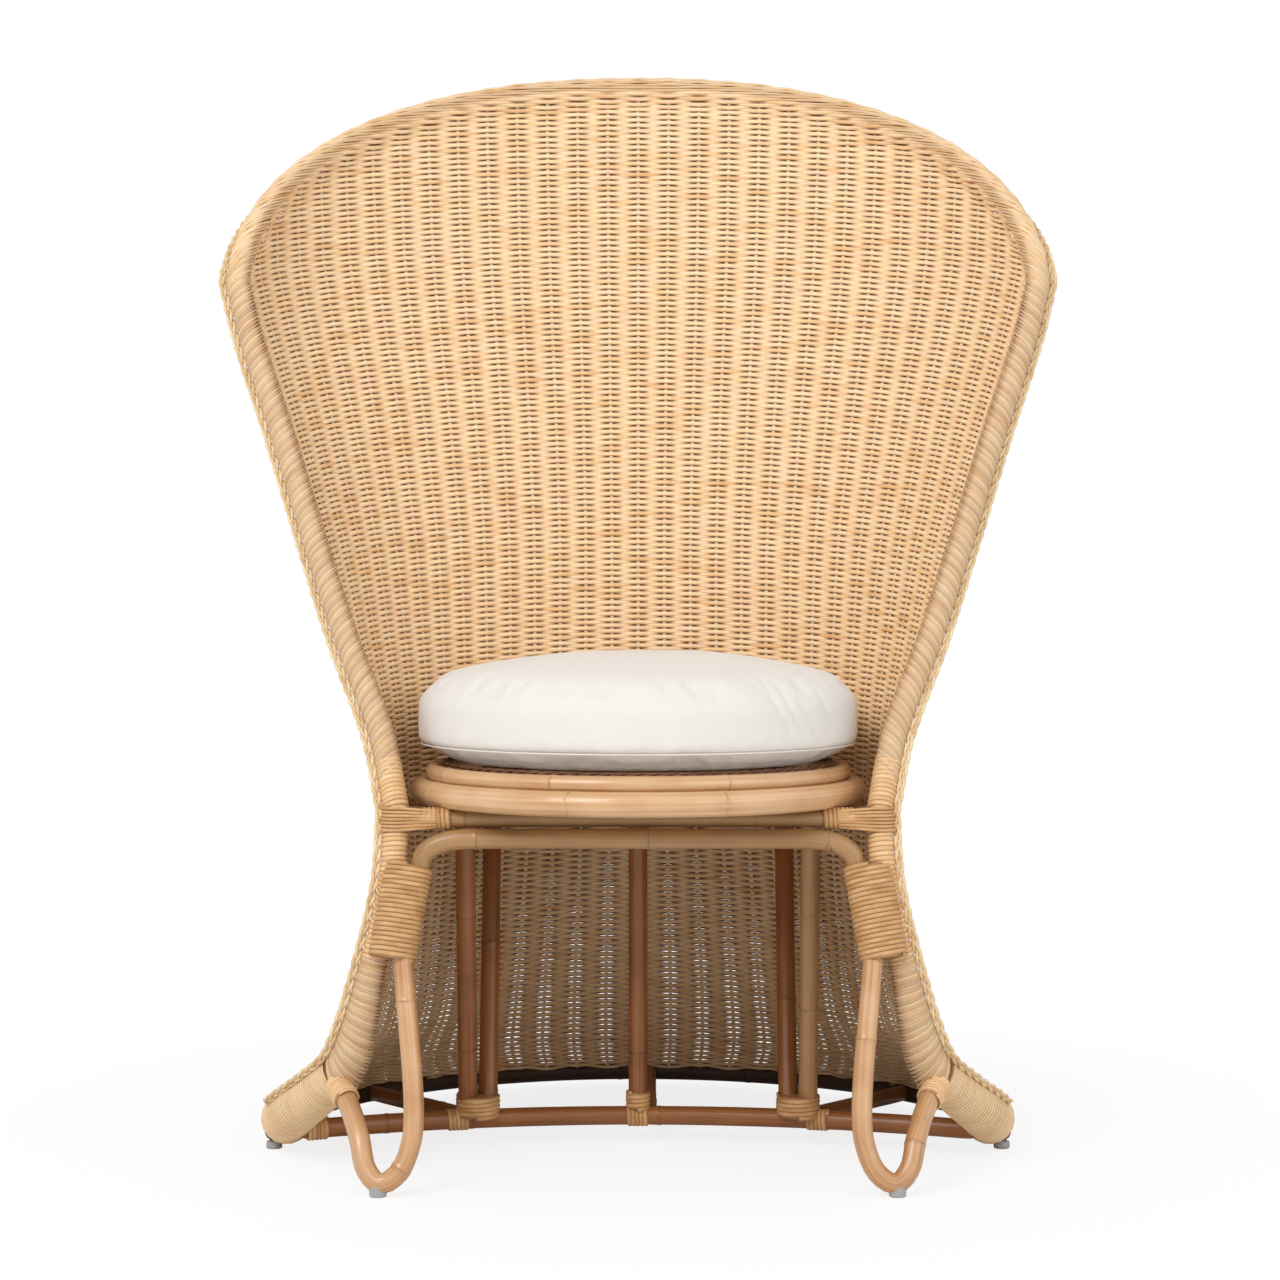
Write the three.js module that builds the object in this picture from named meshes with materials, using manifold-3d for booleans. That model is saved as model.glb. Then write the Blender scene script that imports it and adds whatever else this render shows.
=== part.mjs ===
// Peacock chair in natural rattan: a fan back and a flared skirt woven in one waisted shell,
// a round seat on poles, and a loose round cushion. Millimetres, +Z up, the chair faces -Y.
import * as THREE from 'three';
import { mergeVertices } from 'three/addons/utils/BufferGeometryUtils.js';
import Module from 'manifold-3d';

const wasm = await Module();
wasm.setup();

// Clearances
const seatGap = 0.3;
const skinGap = 0.8;

// Shell: heights above the floor, half widths and depths of its centre lines
const shellHeight = 1204;
const shoulderHeight = 940;
const waistHeight = 375;
const footHeight = 30;
const straightHeight = 700;
const fanHalfWidth = 441;
const waistHalfWidth = 248;
const footHalfWidth = 392;
const shoulderY = 85;
const waistEdgeY = -140;
const footEdgeY = -5;
const topSpineY = 380;
const waistSpineY = 240;
const footSpineY = 366;
const rowDrop = 75;
const waistWrapAngle = 108;
const openWrapAngle = 90;
const rimExponent = 2.2;

// Shell: the woven skin and the poles on its edges
const stakeThickness = 8.8;
const spanThickness = 4.4;
const edgePoleRadius = 14;
const rimPoleRadius = 15;
const waistHoopRadius = 6;
const waistHoopDrop = 11;
const waistHoopHeight = waistHeight - waistHoopDrop;
const braidRadius = 4.5;
const braidTuckAngle = 60;
const braidEndShare = 0.1;
const baseBraidHeight = 23;
const spansPerSide = 16;
const fanRows = 11;
const skirtRows = 9;
const skirtRowExponent = 1.6;

// Base
const hoopRadius = 10.5;
const hoopHeight = 18;
const hoopHalfWidth = footHalfWidth;
const hoopDepth = 371;
const hoopCentreY = -5;
const railRadius = 10.5;
const railHeight = 28;
const railInset = 40;
const railHalfWidth = footHalfWidth - railInset;
const railEndY = -44;
const railCentreY = 33;
const stretcherRadius = 9;
const stretcherOffset = 12;
const braceRadius = 9;
const footWrapTopHeight = 96;
const footWrapStartRadius = 15.5;
const footWrapRadius = 25;
const footWrapEndRadius = 16;
const footWrapEndY = 24;
const footWrapEndHeight = 24;

// Seat
const seatCentreY = -20;
const ringInset = 18;
const ringStep = 12;
const ringRise = 15;
const lowerRingRadius = waistHalfWidth - ringInset;
const lowerRingThickness = 26;
const lowerRingHeight = waistHeight + ringRise;
const upperRingRadius = lowerRingRadius - ringStep;
const upperRingThickness = 18;
const deckThickness = 8;
const deckDrop = 4;
const deckBraidThickness = 10;
const deckBraidInset = 4;
const bearerRadius = 9;
const ringSegments = 36;
const ringSides = 12;
const frontBearerY = -100;
const rearBearerY = 130;
const crossRailY = -146;
const collarLength = 30;
const collarWall = 3;
const collarInset = 13;

// Uprights
const uprightRadius = 10;
const centreUprightY = 33;
const pairFrontX = 184;
const pairFrontTopX = 180;
const pairRearX = 163;
const bindingTop = 54;
const pairBindingHeight = 22;
const pairBindingDepth = 20;
const centreBindingHeight = 18;
const bindingWall = 3.5;

// Front arch and leg loops
const archRadius = 10.5;
const archInset = 26;
const archHalfWidth = waistHalfWidth - archInset;
const archY = -156;
const archBend = 55;
const postDrop = 28;
const postJointDrop = 44;
const postLength = 92;
const postTopReach = 20;
const postBottomReach = 15.5;
const postDepth = 14.5;
const postShift = 10;
const legTopInset = 10;
const legTopX = waistHalfWidth - legTopInset;
const legTopY = -185;
const legKneeX = 226;
const legKneeY = -222;
const legKneeHeight = 105;
const legFootX = 258;
const legFootY = -242;
const legFootHeight = 17;
const legJoinHeight = 104;
const legEndInset = 18.2;
const legEndForward = 36.5;
const legEndDrop = 26;
const limbBindingRadius = 14;
const limbBindingLength = 26;

// Roundness of the poles
const tubeSides = 8;

// Glides
const glideRadius = 9;
const glideHeight = 12;
const rearGlideX = 193;

// Cushion
const cushionOverhang = 11;
const cushionRadius = lowerRingRadius + cushionOverhang;
const cushionCentreY = -12;
const cushionBandHeight = 46;
const cushionCrown = 37;
const cushionUnderBulge = 24;
const cushionDrawIn = 7;
const pipingBulge = 4;

// Fineness: the reach of a difference, of a merge, and of a cap's last row
const probeShare = 1e-3;
const mergeDistance = 1e-3;
const ringTolerance = 1e-2;
const rowEndShare = 0.98;

// Shapes of the shell's edges, as shares of the heights and widths above
// Skirt edge: height from floor to waist, flare from waist to foot, depth from waist to foot
const skirtEdgeShares = [
  [0.08, 1, 1],
  [0.12, 0.944, 0.7],
  [0.16, 0.847, 0.48],
  [0.213, 0.681, 0.26],
  [0.296, 0.444, -0.015],
  [0.4, 0.306, -0.148],
  [0.579, 0.16, -0.185],
  [0.8, 0.028, -0.133],
  [1, 0, 0],
];
// Fan edge: height from waist to shoulder, width and depth from waist to shoulder
const fanEdgeShares = [
  [0, 0, 0],
  [0.14, 0.104, 0.2],
  [0.313, 0.316, 0.409],
  [0.487, 0.503, 0.6],
  [0.69, 0.705, 0.778],
  [0.894, 0.917, 0.933],
  [1, 1, 1],
];
// Spine of the skirt: height from floor to waist, depth from waist to foot
const skirtSpineShares = [
  [0, 1],
  [0.16, 0.857],
  [0.32, 0.65],
  [0.533, 0.357],
  [0.8, 0.095],
  [1, 0],
];
// Spine of the fan: height from waist to top, depth from waist to top
const fanSpineShares = [
  [0, 0],
  [0.127, 0.021],
  [0.259, 0.129],
  [0.392, 0.286],
  [0.543, 0.486],
  [0.694, 0.679],
  [0.875, 0.893],
  [1, 1],
];
// Foot wrap: how far along its rise each ring lies, and how full it is there
const footWrapShares = [
  [0, 0],
  [0.3, 0.35],
  [0.6, 0.75],
  [0.85, 1],
  [1, 1],
];
const copeShare = 0.35;
const crownRoundingShare = 0.7;
const braceEndShare = 0.58;
const waistHoopShare = 0.95;

// Colours of the photographed finishes
const finishes = {
  weave: { color: 0xe8c491, roughness: 0.62 },
  wrap: { color: 0xd9b483, roughness: 0.5 },
  pole: { color: 0xc08f5c, roughness: 0.35 },
  darkPole: { color: 0x96694a, roughness: 0.4 },
  cotton: { color: 0xf5f2ee, roughness: 0.95 },
  glide: { color: 0x8c8c8c, roughness: 0.5 },
};

const chair = new THREE.Group();

function addPiece(name, geometry, finish) {
  const material = new THREE.MeshStandardMaterial({ ...finishes[finish], metalness: 0 });
  const mesh = new THREE.Mesh(geometry, material);
  mesh.name = name;
  chair.add(mesh);
}

// Smooth curve through a table of shares: the value of one column at a given first column
function valueAt(table, column, at) {
  const last = table.length - 1;
  const u = Math.min(Math.max(at, table[0][0]), table[last][0]);
  let i = 0;
  while (i < last - 1 && u > table[i + 1][0]) i += 1;
  const slope = (k) => {
    const a = table[Math.max(k - 1, 0)];
    const b = table[Math.min(k + 1, last)];
    return (b[column] - a[column]) / (b[0] - a[0]);
  };
  const width = table[i + 1][0] - table[i][0];
  const h = (u - table[i][0]) / width;
  const h2 = h * h;
  const h3 = h2 * h;
  return (2 * h3 - 3 * h2 + 1) * table[i][column]
    + (h3 - 2 * h2 + h) * width * slope(i)
    + (3 * h2 - 2 * h3) * table[i + 1][column]
    + (h3 - h2) * width * slope(i + 1);
}

function smoothShare(u) {
  const c = Math.min(Math.max(u, 0), 1);
  return c * c * (3 - 2 * c);
}

// Half width and depth of the shell's free edge at a height
function edgeAt(height) {
  if (height <= waistHeight) {
    const u = height / waistHeight;
    const flare = valueAt(skirtEdgeShares, 1, u);
    const depth = valueAt(skirtEdgeShares, 2, u);
    return {
      x: waistHalfWidth + (footHalfWidth - waistHalfWidth) * flare,
      y: waistEdgeY + (footEdgeY - waistEdgeY) * depth,
    };
  }
  const u = (height - waistHeight) / (shoulderHeight - waistHeight);
  return {
    x: waistHalfWidth + (fanHalfWidth - waistHalfWidth) * valueAt(fanEdgeShares, 1, u),
    y: waistEdgeY + (shoulderY - waistEdgeY) * valueAt(fanEdgeShares, 2, u),
  };
}

function spineY(height) {
  if (height <= waistHeight) {
    const share = valueAt(skirtSpineShares, 1, height / waistHeight);
    return waistSpineY + (footSpineY - waistSpineY) * share;
  }
  const share = valueAt(fanSpineShares, 1, (height - waistHeight) / (shellHeight - waistHeight));
  return waistSpineY + (topSpineY - waistSpineY) * share;
}

// One level of the shell: part of an ellipse from edge to edge, its edges lower than its middle
function sectionAt(level) {
  const rise = Math.max((level - waistHeight) / (shellHeight - waistHeight), 0);
  const drop = rowDrop * Math.sin(Math.min(rise, 1) * Math.PI / 2);
  const below = smoothShare((level - footHeight) / (waistHeight - footHeight));
  const above = smoothShare((straightHeight - level) / (straightHeight - waistHeight));
  const wrap = openWrapAngle + (waistWrapAngle - openWrapAngle) * Math.min(below, above);
  const end = THREE.MathUtils.degToRad(wrap);
  const edge = edgeAt(level - drop * (1 - Math.cos(end)));
  const spine = spineY(level);
  const depth = (spine - edge.y) / (1 - Math.cos(end));
  const width = edge.x / Math.sin(end);
  const steps = 48;
  const lengths = [0];
  for (let i = 1; i <= steps; i += 1) {
    const a = end * (i - 1) / steps;
    const b = end * i / steps;
    const dx = width * (Math.sin(b) - Math.sin(a));
    const dy = depth * (Math.cos(b) - Math.cos(a));
    const dz = drop * (Math.cos(b) - Math.cos(a));
    lengths.push(lengths[i - 1] + Math.hypot(dx, dy, dz));
  }
  const length = lengths[steps];
  const angleAt = (share) => {
    const reach = Math.min(Math.abs(share), 1) * length;
    let i = 1;
    while (i < steps && lengths[i] < reach) i += 1;
    const part = (reach - lengths[i - 1]) / (lengths[i] - lengths[i - 1]);
    return Math.sign(share) * end * (i - 1 + part) / steps;
  };
  return { level, drop, spine, depth, width, length, angleAt };
}

// Point of the shell at a level, at a share of the arc from the spine to the right edge
function pointOn(section, share) {
  const angle = section.angleAt(share);
  return new THREE.Vector3(
    section.width * Math.sin(angle),
    section.spine - section.depth * (1 - Math.cos(angle)),
    section.level - section.drop * (1 - Math.cos(angle)),
  );
}

function shellPoint(share, level) {
  return pointOn(sectionAt(level), share);
}

// Outward direction of the shell
function shellNormal(share, level) {
  const inner = Math.abs(share) < 1 - probeShare ? share : share * (1 - probeShare);
  const rise = shellHeight * probeShare;
  const lower = Math.min(level, shellHeight - rise);
  const half = probeShare / 2;
  const across = shellPoint(inner + half, level).sub(shellPoint(inner - half, level));
  const up = shellPoint(inner, lower + rise).sub(shellPoint(inner, lower - rise));
  return up.cross(across).normalize();
}

// Level at which a share of the arc meets the rim, a flattened ellipse seen from the front
function rimLevel(share) {
  let low = waistHeight;
  let high = shellHeight;
  for (let i = 0; i < 40; i += 1) {
    const middle = (low + high) / 2;
    const p = shellPoint(share, middle);
    const across = Math.abs(p.x) / fanHalfWidth;
    const rise = Math.max(p.z - shoulderHeight, 0) / (shellHeight - shoulderHeight);
    const inside = across ** rimExponent + rise ** rimExponent < 1;
    if (inside) low = middle;
    else high = middle;
  }
  return (low + high) / 2;
}

// Curve whose rings lie exactly at its points, with the directions given or worked out
class RingPath extends THREE.Curve {
  constructor(points, directions) {
    super();
    this.points = points;
    this.directions = directions ?? RingPath.directionsOf(points);
  }

  static directionsOf(points) {
    return points.map((p, i) => {
      const before = points[Math.max(i - 1, 0)];
      const after = points[Math.min(i + 1, points.length - 1)];
      const back = p.clone().sub(before).normalize();
      const on = after.clone().sub(p).normalize();
      return back.add(on).normalize();
    });
  }

  blend(list, u, target) {
    const at = u * (list.length - 1);
    const i = Math.min(Math.floor(at + 1e-9), list.length - 2);
    return target.copy(list[i]).lerp(list[i + 1], at - i);
  }

  getPoint(u, target = new THREE.Vector3()) {
    return this.blend(this.points, u, target);
  }

  getPointAt(u, target = new THREE.Vector3()) {
    return this.getPoint(u, target);
  }

  getTangentAt(u, target = new THREE.Vector3()) {
    return this.blend(this.directions, u, target).normalize();
  }
}

function circleShape(radius) {
  return new THREE.Shape().absarc(0, 0, radius, 0, 2 * Math.PI);
}

function tubeThrough(points, radius, sides = tubeSides, directions = undefined) {
  return new THREE.ExtrudeGeometry(circleShape(radius), {
    steps: points.length - 1,
    curveSegments: sides / 2,
    bevelEnabled: false,
    extrudePath: new RingPath(points, directions),
  });
}

// Tube whose thickness changes along its rings; each ring has a reach and a depth
function taperedTube(points, sizes, sides = 12) {
  const geometry = tubeThrough(points, 1, sides);
  const path = new RingPath(points);
  const frames = path.computeFrenetFrames(points.length - 1, false);
  const position = geometry.getAttribute('position');
  const p = new THREE.Vector3();
  for (let i = 0; i < position.count; i += 1) {
    p.fromBufferAttribute(position, i);
    let ring = 0;
    points.forEach((q, k) => {
      const away = Math.abs(p.clone().sub(q).dot(frames.tangents[k]));
      const near = Math.abs(p.distanceTo(q) - 1);
      if (away < ringTolerance && near < ringTolerance) ring = k;
    });
    const offset = p.clone().sub(points[ring]);
    p.copy(points[ring]).add(sizes[ring](offset));
    position.setXYZ(i, p.x, p.y, p.z);
  }
  return geometry;
}

function round(radius) {
  return (offset) => offset.clone().multiplyScalar(radius);
}

// Oval section, wide across the chair and shallow from front to back
function oval(reach, depth) {
  return (offset) => new THREE.Vector3(offset.x * reach, offset.y * depth, offset.z * depth);
}

function pointsAlong(curve, count) {
  return curve.getSpacedPoints(count);
}

function solidOf(geometry) {
  const bare = geometry.clone();
  bare.deleteAttribute('normal');
  bare.deleteAttribute('uv');
  const merged = mergeVertices(bare, mergeDistance);
  return new wasm.Manifold(new wasm.Mesh({
    numProp: 3,
    vertProperties: merged.getAttribute('position').array,
    triVerts: new Uint32Array(merged.getIndex().array),
  }));
}

function geometryOf(solid) {
  const mesh = solid.getMesh();
  const geometry = new THREE.BufferGeometry();
  geometry.setAttribute('position', new THREE.BufferAttribute(mesh.vertProperties, 3));
  geometry.setIndex(new THREE.BufferAttribute(mesh.triVerts, 1));
  return geometry;
}

function cutBy(geometry, cutters) {
  const cut = cutters.reduce((solid, cutter) => solid.subtract(solidOf(cutter)), solidOf(geometry));
  return geometryOf(cut);
}

function mirrored(geometry) {
  const copy = geometry.index ? geometry.toNonIndexed() : geometry.clone();
  copy.deleteAttribute('normal');
  copy.deleteAttribute('uv');
  const position = copy.getAttribute('position');
  const corner = (i) => [-position.getX(i), position.getY(i), position.getZ(i)];
  for (let i = 0; i < position.count; i += 3) {
    const first = corner(i);
    const second = corner(i + 1);
    const third = corner(i + 2);
    position.setXYZ(i, ...first);
    position.setXYZ(i + 1, ...third);
    position.setXYZ(i + 2, ...second);
  }
  return copy;
}

// The same piece on the left and on the right of the chair
function addPair(name, geometry, finish) {
  addPiece('left_' + name, mirrored(geometry), finish);
  addPiece('right_' + name, geometry, finish);
}

// Closed sheet between an outer and an inner surface; grid[row][column] holds both points
function sheetSolid(grid) {
  const rows = grid.length;
  const columns = grid[0].length;
  const positions = [];
  grid.forEach((row) => row.forEach((cell) => positions.push(...cell.outer.toArray())));
  grid.forEach((row) => row.forEach((cell) => positions.push(...cell.inner.toArray())));
  const inside = rows * columns;
  const at = (i, j) => i * columns + j;
  const index = [];
  const quad = (a, b, c, d) => index.push(a, b, c, a, c, d);
  for (let i = 0; i < rows - 1; i += 1) {
    for (let j = 0; j < columns - 1; j += 1) {
      const a = at(i, j);
      const b = at(i + 1, j);
      const c = at(i + 1, j + 1);
      const d = at(i, j + 1);
      quad(a, b, c, d);
      quad(inside + a, inside + d, inside + c, inside + b);
    }
  }
  for (let j = 0; j < columns - 1; j += 1) {
    const top = rows - 1;
    quad(at(0, j), at(0, j + 1), inside + at(0, j + 1), inside + at(0, j));
    quad(at(top, j), inside + at(top, j), inside + at(top, j + 1), at(top, j + 1));
  }
  for (let i = 0; i < rows - 1; i += 1) {
    const end = columns - 1;
    quad(at(i, 0), inside + at(i, 0), inside + at(i + 1, 0), at(i + 1, 0));
    quad(at(i, end), at(i + 1, end), inside + at(i + 1, end), inside + at(i, end));
  }
  const geometry = new THREE.BufferGeometry();
  geometry.setAttribute('position', new THREE.Float32BufferAttribute(positions, 3));
  geometry.setIndex(index);
  return geometry;
}

// Woven shell: two columns to each stake, because the weave is thick over a stake and thin between two
const columnCount = 4 * spansPerSide;
const columnShares = Array.from({ length: columnCount + 1 }, (_, j) => 2 * j / columnCount - 1);

// Share of the arc that the skin covers, so that it just clears the slanting edge pole
function skinReach(section) {
  const step = shellHeight * probeShare;
  const pole = shellPoint(1, section.level + step).sub(shellPoint(1, section.level - step)).normalize();
  const row = pointOn(section, 1).sub(pointOn(section, rowEndShare)).normalize();
  return 1 - (edgePoleRadius + skinGap) / (row.cross(pole).length() * section.length);
}

function skinPoint(columnShare, level) {
  const section = sectionAt(level);
  return pointOn(section, columnShare * skinReach(section));
}

function skinCell(column, level) {
  const section = sectionAt(level);
  const share = columnShares[column] * skinReach(section);
  const normal = shellNormal(share, level);
  const half = (column % 2 === 0 ? stakeThickness : spanThickness) / 2;
  const middle = pointOn(section, share);
  return {
    outer: middle.clone().addScaledVector(normal, half),
    inner: middle.clone().addScaledVector(normal, -half),
  };
}

const rimPoints = columnShares.map((share) => shellPoint(share, rimLevel(share)));
const shoulderLevel = rimLevel(1);

function distanceToRim(point) {
  const line = new THREE.Line3();
  const near = new THREE.Vector3();
  let least = Infinity;
  for (let i = 0; i < rimPoints.length - 1; i += 1) {
    line.set(rimPoints[i], rimPoints[i + 1]).closestPointToPoint(point, true, near);
    least = Math.min(least, near.distanceTo(point));
  }
  return least;
}

// Highest level that a column reaches before it touches the rim pole
function topLevel(columnShare) {
  let low = waistHeight;
  let high = rimLevel(columnShare);
  for (let i = 0; i < 30; i += 1) {
    const middle = (low + high) / 2;
    const clear = distanceToRim(skinPoint(columnShare, middle)) > rimPoleRadius + skinGap;
    if (clear) low = middle;
    else high = middle;
  }
  return low;
}

const topLevels = columnShares.map(topLevel);
const fanStart = waistHeight + seatGap / 2;
const skirtTop = waistHeight - seatGap / 2;
const skirtBottom = hoopHeight + hoopRadius + skinGap;

function fanLevel(row, column) {
  return fanStart + (topLevels[column] - fanStart) * row / fanRows;
}

function skirtLevel(row) {
  return skirtBottom + (skirtTop - skirtBottom) * (row / skirtRows) ** skirtRowExponent;
}

function wovenBack() {
  const grid = [];
  for (let row = 0; row <= fanRows; row += 1) {
    grid.push(columnShares.map((_, column) => skinCell(column, fanLevel(row, column))));
  }
  return sheetSolid(grid);
}

function wovenSkirt() {
  const grid = [];
  for (let row = 0; row <= skirtRows; row += 1) {
    grid.push(columnShares.map((_, column) => skinCell(column, skirtLevel(row))));
  }
  return sheetSolid(grid);
}

// Edge poles and rim: one line round the shell, parted at the shoulders
const edgeLevels = [];
for (let row = 0; row <= skirtRows; row += 1) edgeLevels.push(skirtLevel(row));
for (let row = 1; row <= fanRows; row += 1) edgeLevels.push(fanLevel(row, columnCount));
edgeLevels.push(shoulderLevel);
const rightEdgePoints = edgeLevels.map((level) => shellPoint(1, level));
const leftEdgePoints = edgeLevels.map((level) => shellPoint(-1, level));
const linePoints = [...leftEdgePoints, ...rimPoints.slice(1, -1), ...rightEdgePoints.slice().reverse()];
const lineDirections = RingPath.directionsOf(linePoints);
const edgeCount = edgeLevels.length;

function partOfLine(from, to, radius, atStart, atEnd) {
  const points = linePoints.slice(from, to).map((p) => p.clone());
  const directions = lineDirections.slice(from, to);
  const last = points.length - 1;
  points[0].addScaledVector(directions[0], atStart);
  points[last].addScaledVector(directions[last], atEnd);
  return tubeThrough(points, radius, tubeSides, directions);
}

function rimPole() {
  const half = seatGap / 2;
  return partOfLine(edgeCount - 1, linePoints.length - edgeCount + 1, rimPoleRadius, half, -half);
}

function rightEdgePole(growth) {
  const radius = edgePoleRadius + growth;
  return partOfLine(linePoints.length - edgeCount, linePoints.length, radius, seatGap / 2, 0);
}

// Base: a hoop round the back, and a bowed rail between the front feet
function hoopPoint(share, spread = 0, height = hoopHeight) {
  const angle = share * Math.PI / 2;
  return new THREE.Vector3(
    (hoopHalfWidth + spread) * Math.sin(angle),
    hoopCentreY + (hoopDepth + spread) * Math.cos(angle),
    height,
  );
}

function arcPoints(count, pointAt, reach = 1) {
  return Array.from({ length: count + 1 }, (_, i) => pointAt(reach * (2 * i / count - 1)));
}

function railPoint(share) {
  const bow = (railCentreY - railEndY) * (1 - share * share);
  return new THREE.Vector3(railHalfWidth * share, railEndY + bow, railHeight);
}

function railAt(x) {
  return railPoint(x / railHalfWidth);
}

const hoopLine = arcPoints(32, (share) => hoopPoint(share));
const railLine = arcPoints(16, railPoint);

// Foot wrap: a swelling wound round the place where edge pole, hoop and rail meet
const footWrapLevels = footWrapShares.map(([along]) => (
  footWrapTopHeight + (skirtBottom - footWrapTopHeight) * along
));
const footWrapLine = [
  ...footWrapLevels.map((level) => shellPoint(1, level)),
  new THREE.Vector3(footHalfWidth, footWrapEndY, footWrapEndHeight),
];

function footWrap(growth) {
  const sizes = footWrapShares.map(([, full]) => (
    round(footWrapStartRadius + (footWrapRadius - footWrapStartRadius) * full + growth)
  ));
  return taperedTube(footWrapLine, [...sizes, round(footWrapEndRadius + growth)]);
}

const rightWrapCutter = footWrap(seatGap);
const leftWrapCutter = mirrored(rightWrapCutter);

function edgeBraid() {
  const offset = edgePoleRadius + seatGap + braidRadius;
  const points = edgeLevels
    .filter((level) => level > footWrapTopHeight)
    .map((level) => shellPoint(1, level).addScaledVector(shellNormal(1, level), offset));
  return tubeThrough(points, braidRadius, 6);
}

// Rim braid: outside the rim at the shoulders, tucked under it at the back of the top
function rimBraid() {
  const offset = rimPoleRadius + seatGap + braidRadius;
  const points = rimPoints.map((point, i) => {
    const share = columnShares[i];
    const outward = shellNormal(share, rimLevel(share));
    const inward = outward.clone().cross(lineDirections[edgeCount - 1 + i]).normalize();
    const rise = (point.z - shoulderHeight) / (shellHeight - shoulderHeight);
    const tuck = THREE.MathUtils.degToRad(braidTuckAngle) * rise ** 2;
    return point.clone()
      .addScaledVector(outward, offset * Math.cos(tuck))
      .addScaledVector(inward, offset * Math.sin(tuck));
  });
  const last = points.length - 1;
  points[0].lerp(points[1], braidEndShare);
  points[last].lerp(points[last - 1], braidEndShare);
  return tubeThrough(points, braidRadius, 6);
}

function baseBraid() {
  const spread = hoopRadius + seatGap + braidRadius;
  const points = arcPoints(32, (share) => hoopPoint(share, spread, baseBraidHeight));
  return tubeThrough(points, braidRadius, 6);
}

// Waist hoop: against the inside of the weave, under the seat ring
const waistHoopOffset = stakeThickness / 2 + skinGap + waistHoopRadius;
const waistHoopLine = arcPoints(28, (share) => (
  shellPoint(share, waistHoopHeight).addScaledVector(shellNormal(share, waistHoopHeight), -waistHoopOffset)
), waistHoopShare);

// Seat: two rings, a woven deck with a braided border, and bearers under the lower ring
const bearerHeight = lowerRingHeight - lowerRingThickness / 2 - seatGap - bearerRadius;
const ringTouch = (lowerRingThickness + upperRingThickness) / 2 + seatGap;
const upperRingHeight = lowerRingHeight + Math.sqrt(ringTouch ** 2 - ringStep ** 2);
const deckRadius = upperRingRadius - upperRingThickness / 2 - seatGap;
const deckTop = upperRingHeight;
const braidSeatHeight = deckTop + seatGap + deckBraidThickness / 2;

function seatRing(radius, thickness, height, sides = ringSides) {
  const ring = new THREE.TorusGeometry(radius, thickness / 2, sides, ringSegments);
  return ring.translate(0, seatCentreY, height);
}

function turned(profile, segments, centreY) {
  const points = profile.map(([radius, height]) => new THREE.Vector2(radius, height));
  return new THREE.LatheGeometry(points, segments).rotateX(Math.PI / 2).translate(0, centreY, 0);
}

function seatDeck() {
  const flatRadius = deckRadius - deckBraidThickness - deckBraidInset;
  return turned([
    [0, deckTop - deckThickness - deckDrop],
    [flatRadius, deckTop - deckThickness],
    [deckRadius, deckTop - deckThickness],
    [deckRadius, deckTop],
    [flatRadius, deckTop],
    [0, deckTop - deckDrop],
  ], ringSegments, seatCentreY);
}

function acrossLine(halfWidth, y, height) {
  return [new THREE.Vector3(-halfWidth, y, height), new THREE.Vector3(halfWidth, y, height)];
}

// Half width at which the waist hoop's line passes a given depth
function waistHoopReach(y) {
  const right = waistHoopLine.slice(waistHoopLine.length / 2);
  const after = right.findIndex((p) => p.y < y);
  const a = right[after - 1];
  const b = right[after];
  return THREE.MathUtils.mapLinear(y, a.y, b.y, a.x, b.x);
}

function crossRailEnd() {
  return edgeAt(bearerHeight).x - edgePoleRadius - seatGap;
}

const frontBearerLine = acrossLine(waistHoopReach(frontBearerY), frontBearerY, bearerHeight);
const rearBearerLine = acrossLine(waistHoopReach(rearBearerY), rearBearerY, bearerHeight);
const spineBearerLine = [
  new THREE.Vector3(0, frontBearerY + bearerRadius + seatGap, bearerHeight),
  new THREE.Vector3(0, rearBearerY - bearerRadius - seatGap, bearerHeight),
];
const waistHoopCutter = tubeThrough(waistHoopLine, waistHoopRadius + seatGap);
const frontBearerCutter = tubeThrough(frontBearerLine, bearerRadius + seatGap);
const rearBearerCutter = tubeThrough(rearBearerLine, bearerRadius + seatGap);
const spineBearerCutter = tubeThrough(spineBearerLine, bearerRadius + seatGap);
const railCutter = tubeThrough(railLine, railRadius + seatGap);
const hoopCutter = tubeThrough(hoopLine, hoopRadius + seatGap);

// Uprights: coped onto the rail at the foot and under a bearer at the top
function uprightLine(footX, topX, topY) {
  const foot = railAt(footX);
  foot.z += copeShare * railRadius;
  return [foot, new THREE.Vector3(topX, topY, bearerHeight - copeShare * bearerRadius)];
}

const pairFrontLine = uprightLine(pairFrontX, pairFrontTopX, frontBearerY);
const pairRearLine = uprightLine(pairRearX, pairRearX, rearBearerY);
const centreUprightLine = uprightLine(0, 0, centreUprightY);

const pairFrontCutter = tubeThrough(pairFrontLine, uprightRadius + seatGap);
const pairRearCutter = tubeThrough(pairRearLine, uprightRadius + seatGap);
const centreUprightCutter = tubeThrough(centreUprightLine, uprightRadius + seatGap);

// Lashing round the foot of one or two uprights, sitting over the rail
function lashing(centreX, halfX, halfY, height, growth = 0) {
  const block = new THREE.CylinderGeometry(1, 1, height, 20).rotateX(Math.PI / 2);
  block.scale(halfX + growth, halfY + growth, 1);
  return block.translate(centreX, railAt(centreX).y, bindingTop - height / 2);
}

const pairCentreX = (pairFrontX + pairRearX) / 2;
const pairHalfX = (pairFrontX - pairRearX) / 2 + uprightRadius + bindingWall;

function pairLashing(growth) {
  return lashing(pairCentreX, pairHalfX, pairBindingDepth, pairBindingHeight, growth);
}

function centreLashing(growth) {
  const reach = uprightRadius + bindingWall;
  return lashing(0, reach, reach, centreBindingHeight, growth);
}

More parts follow.
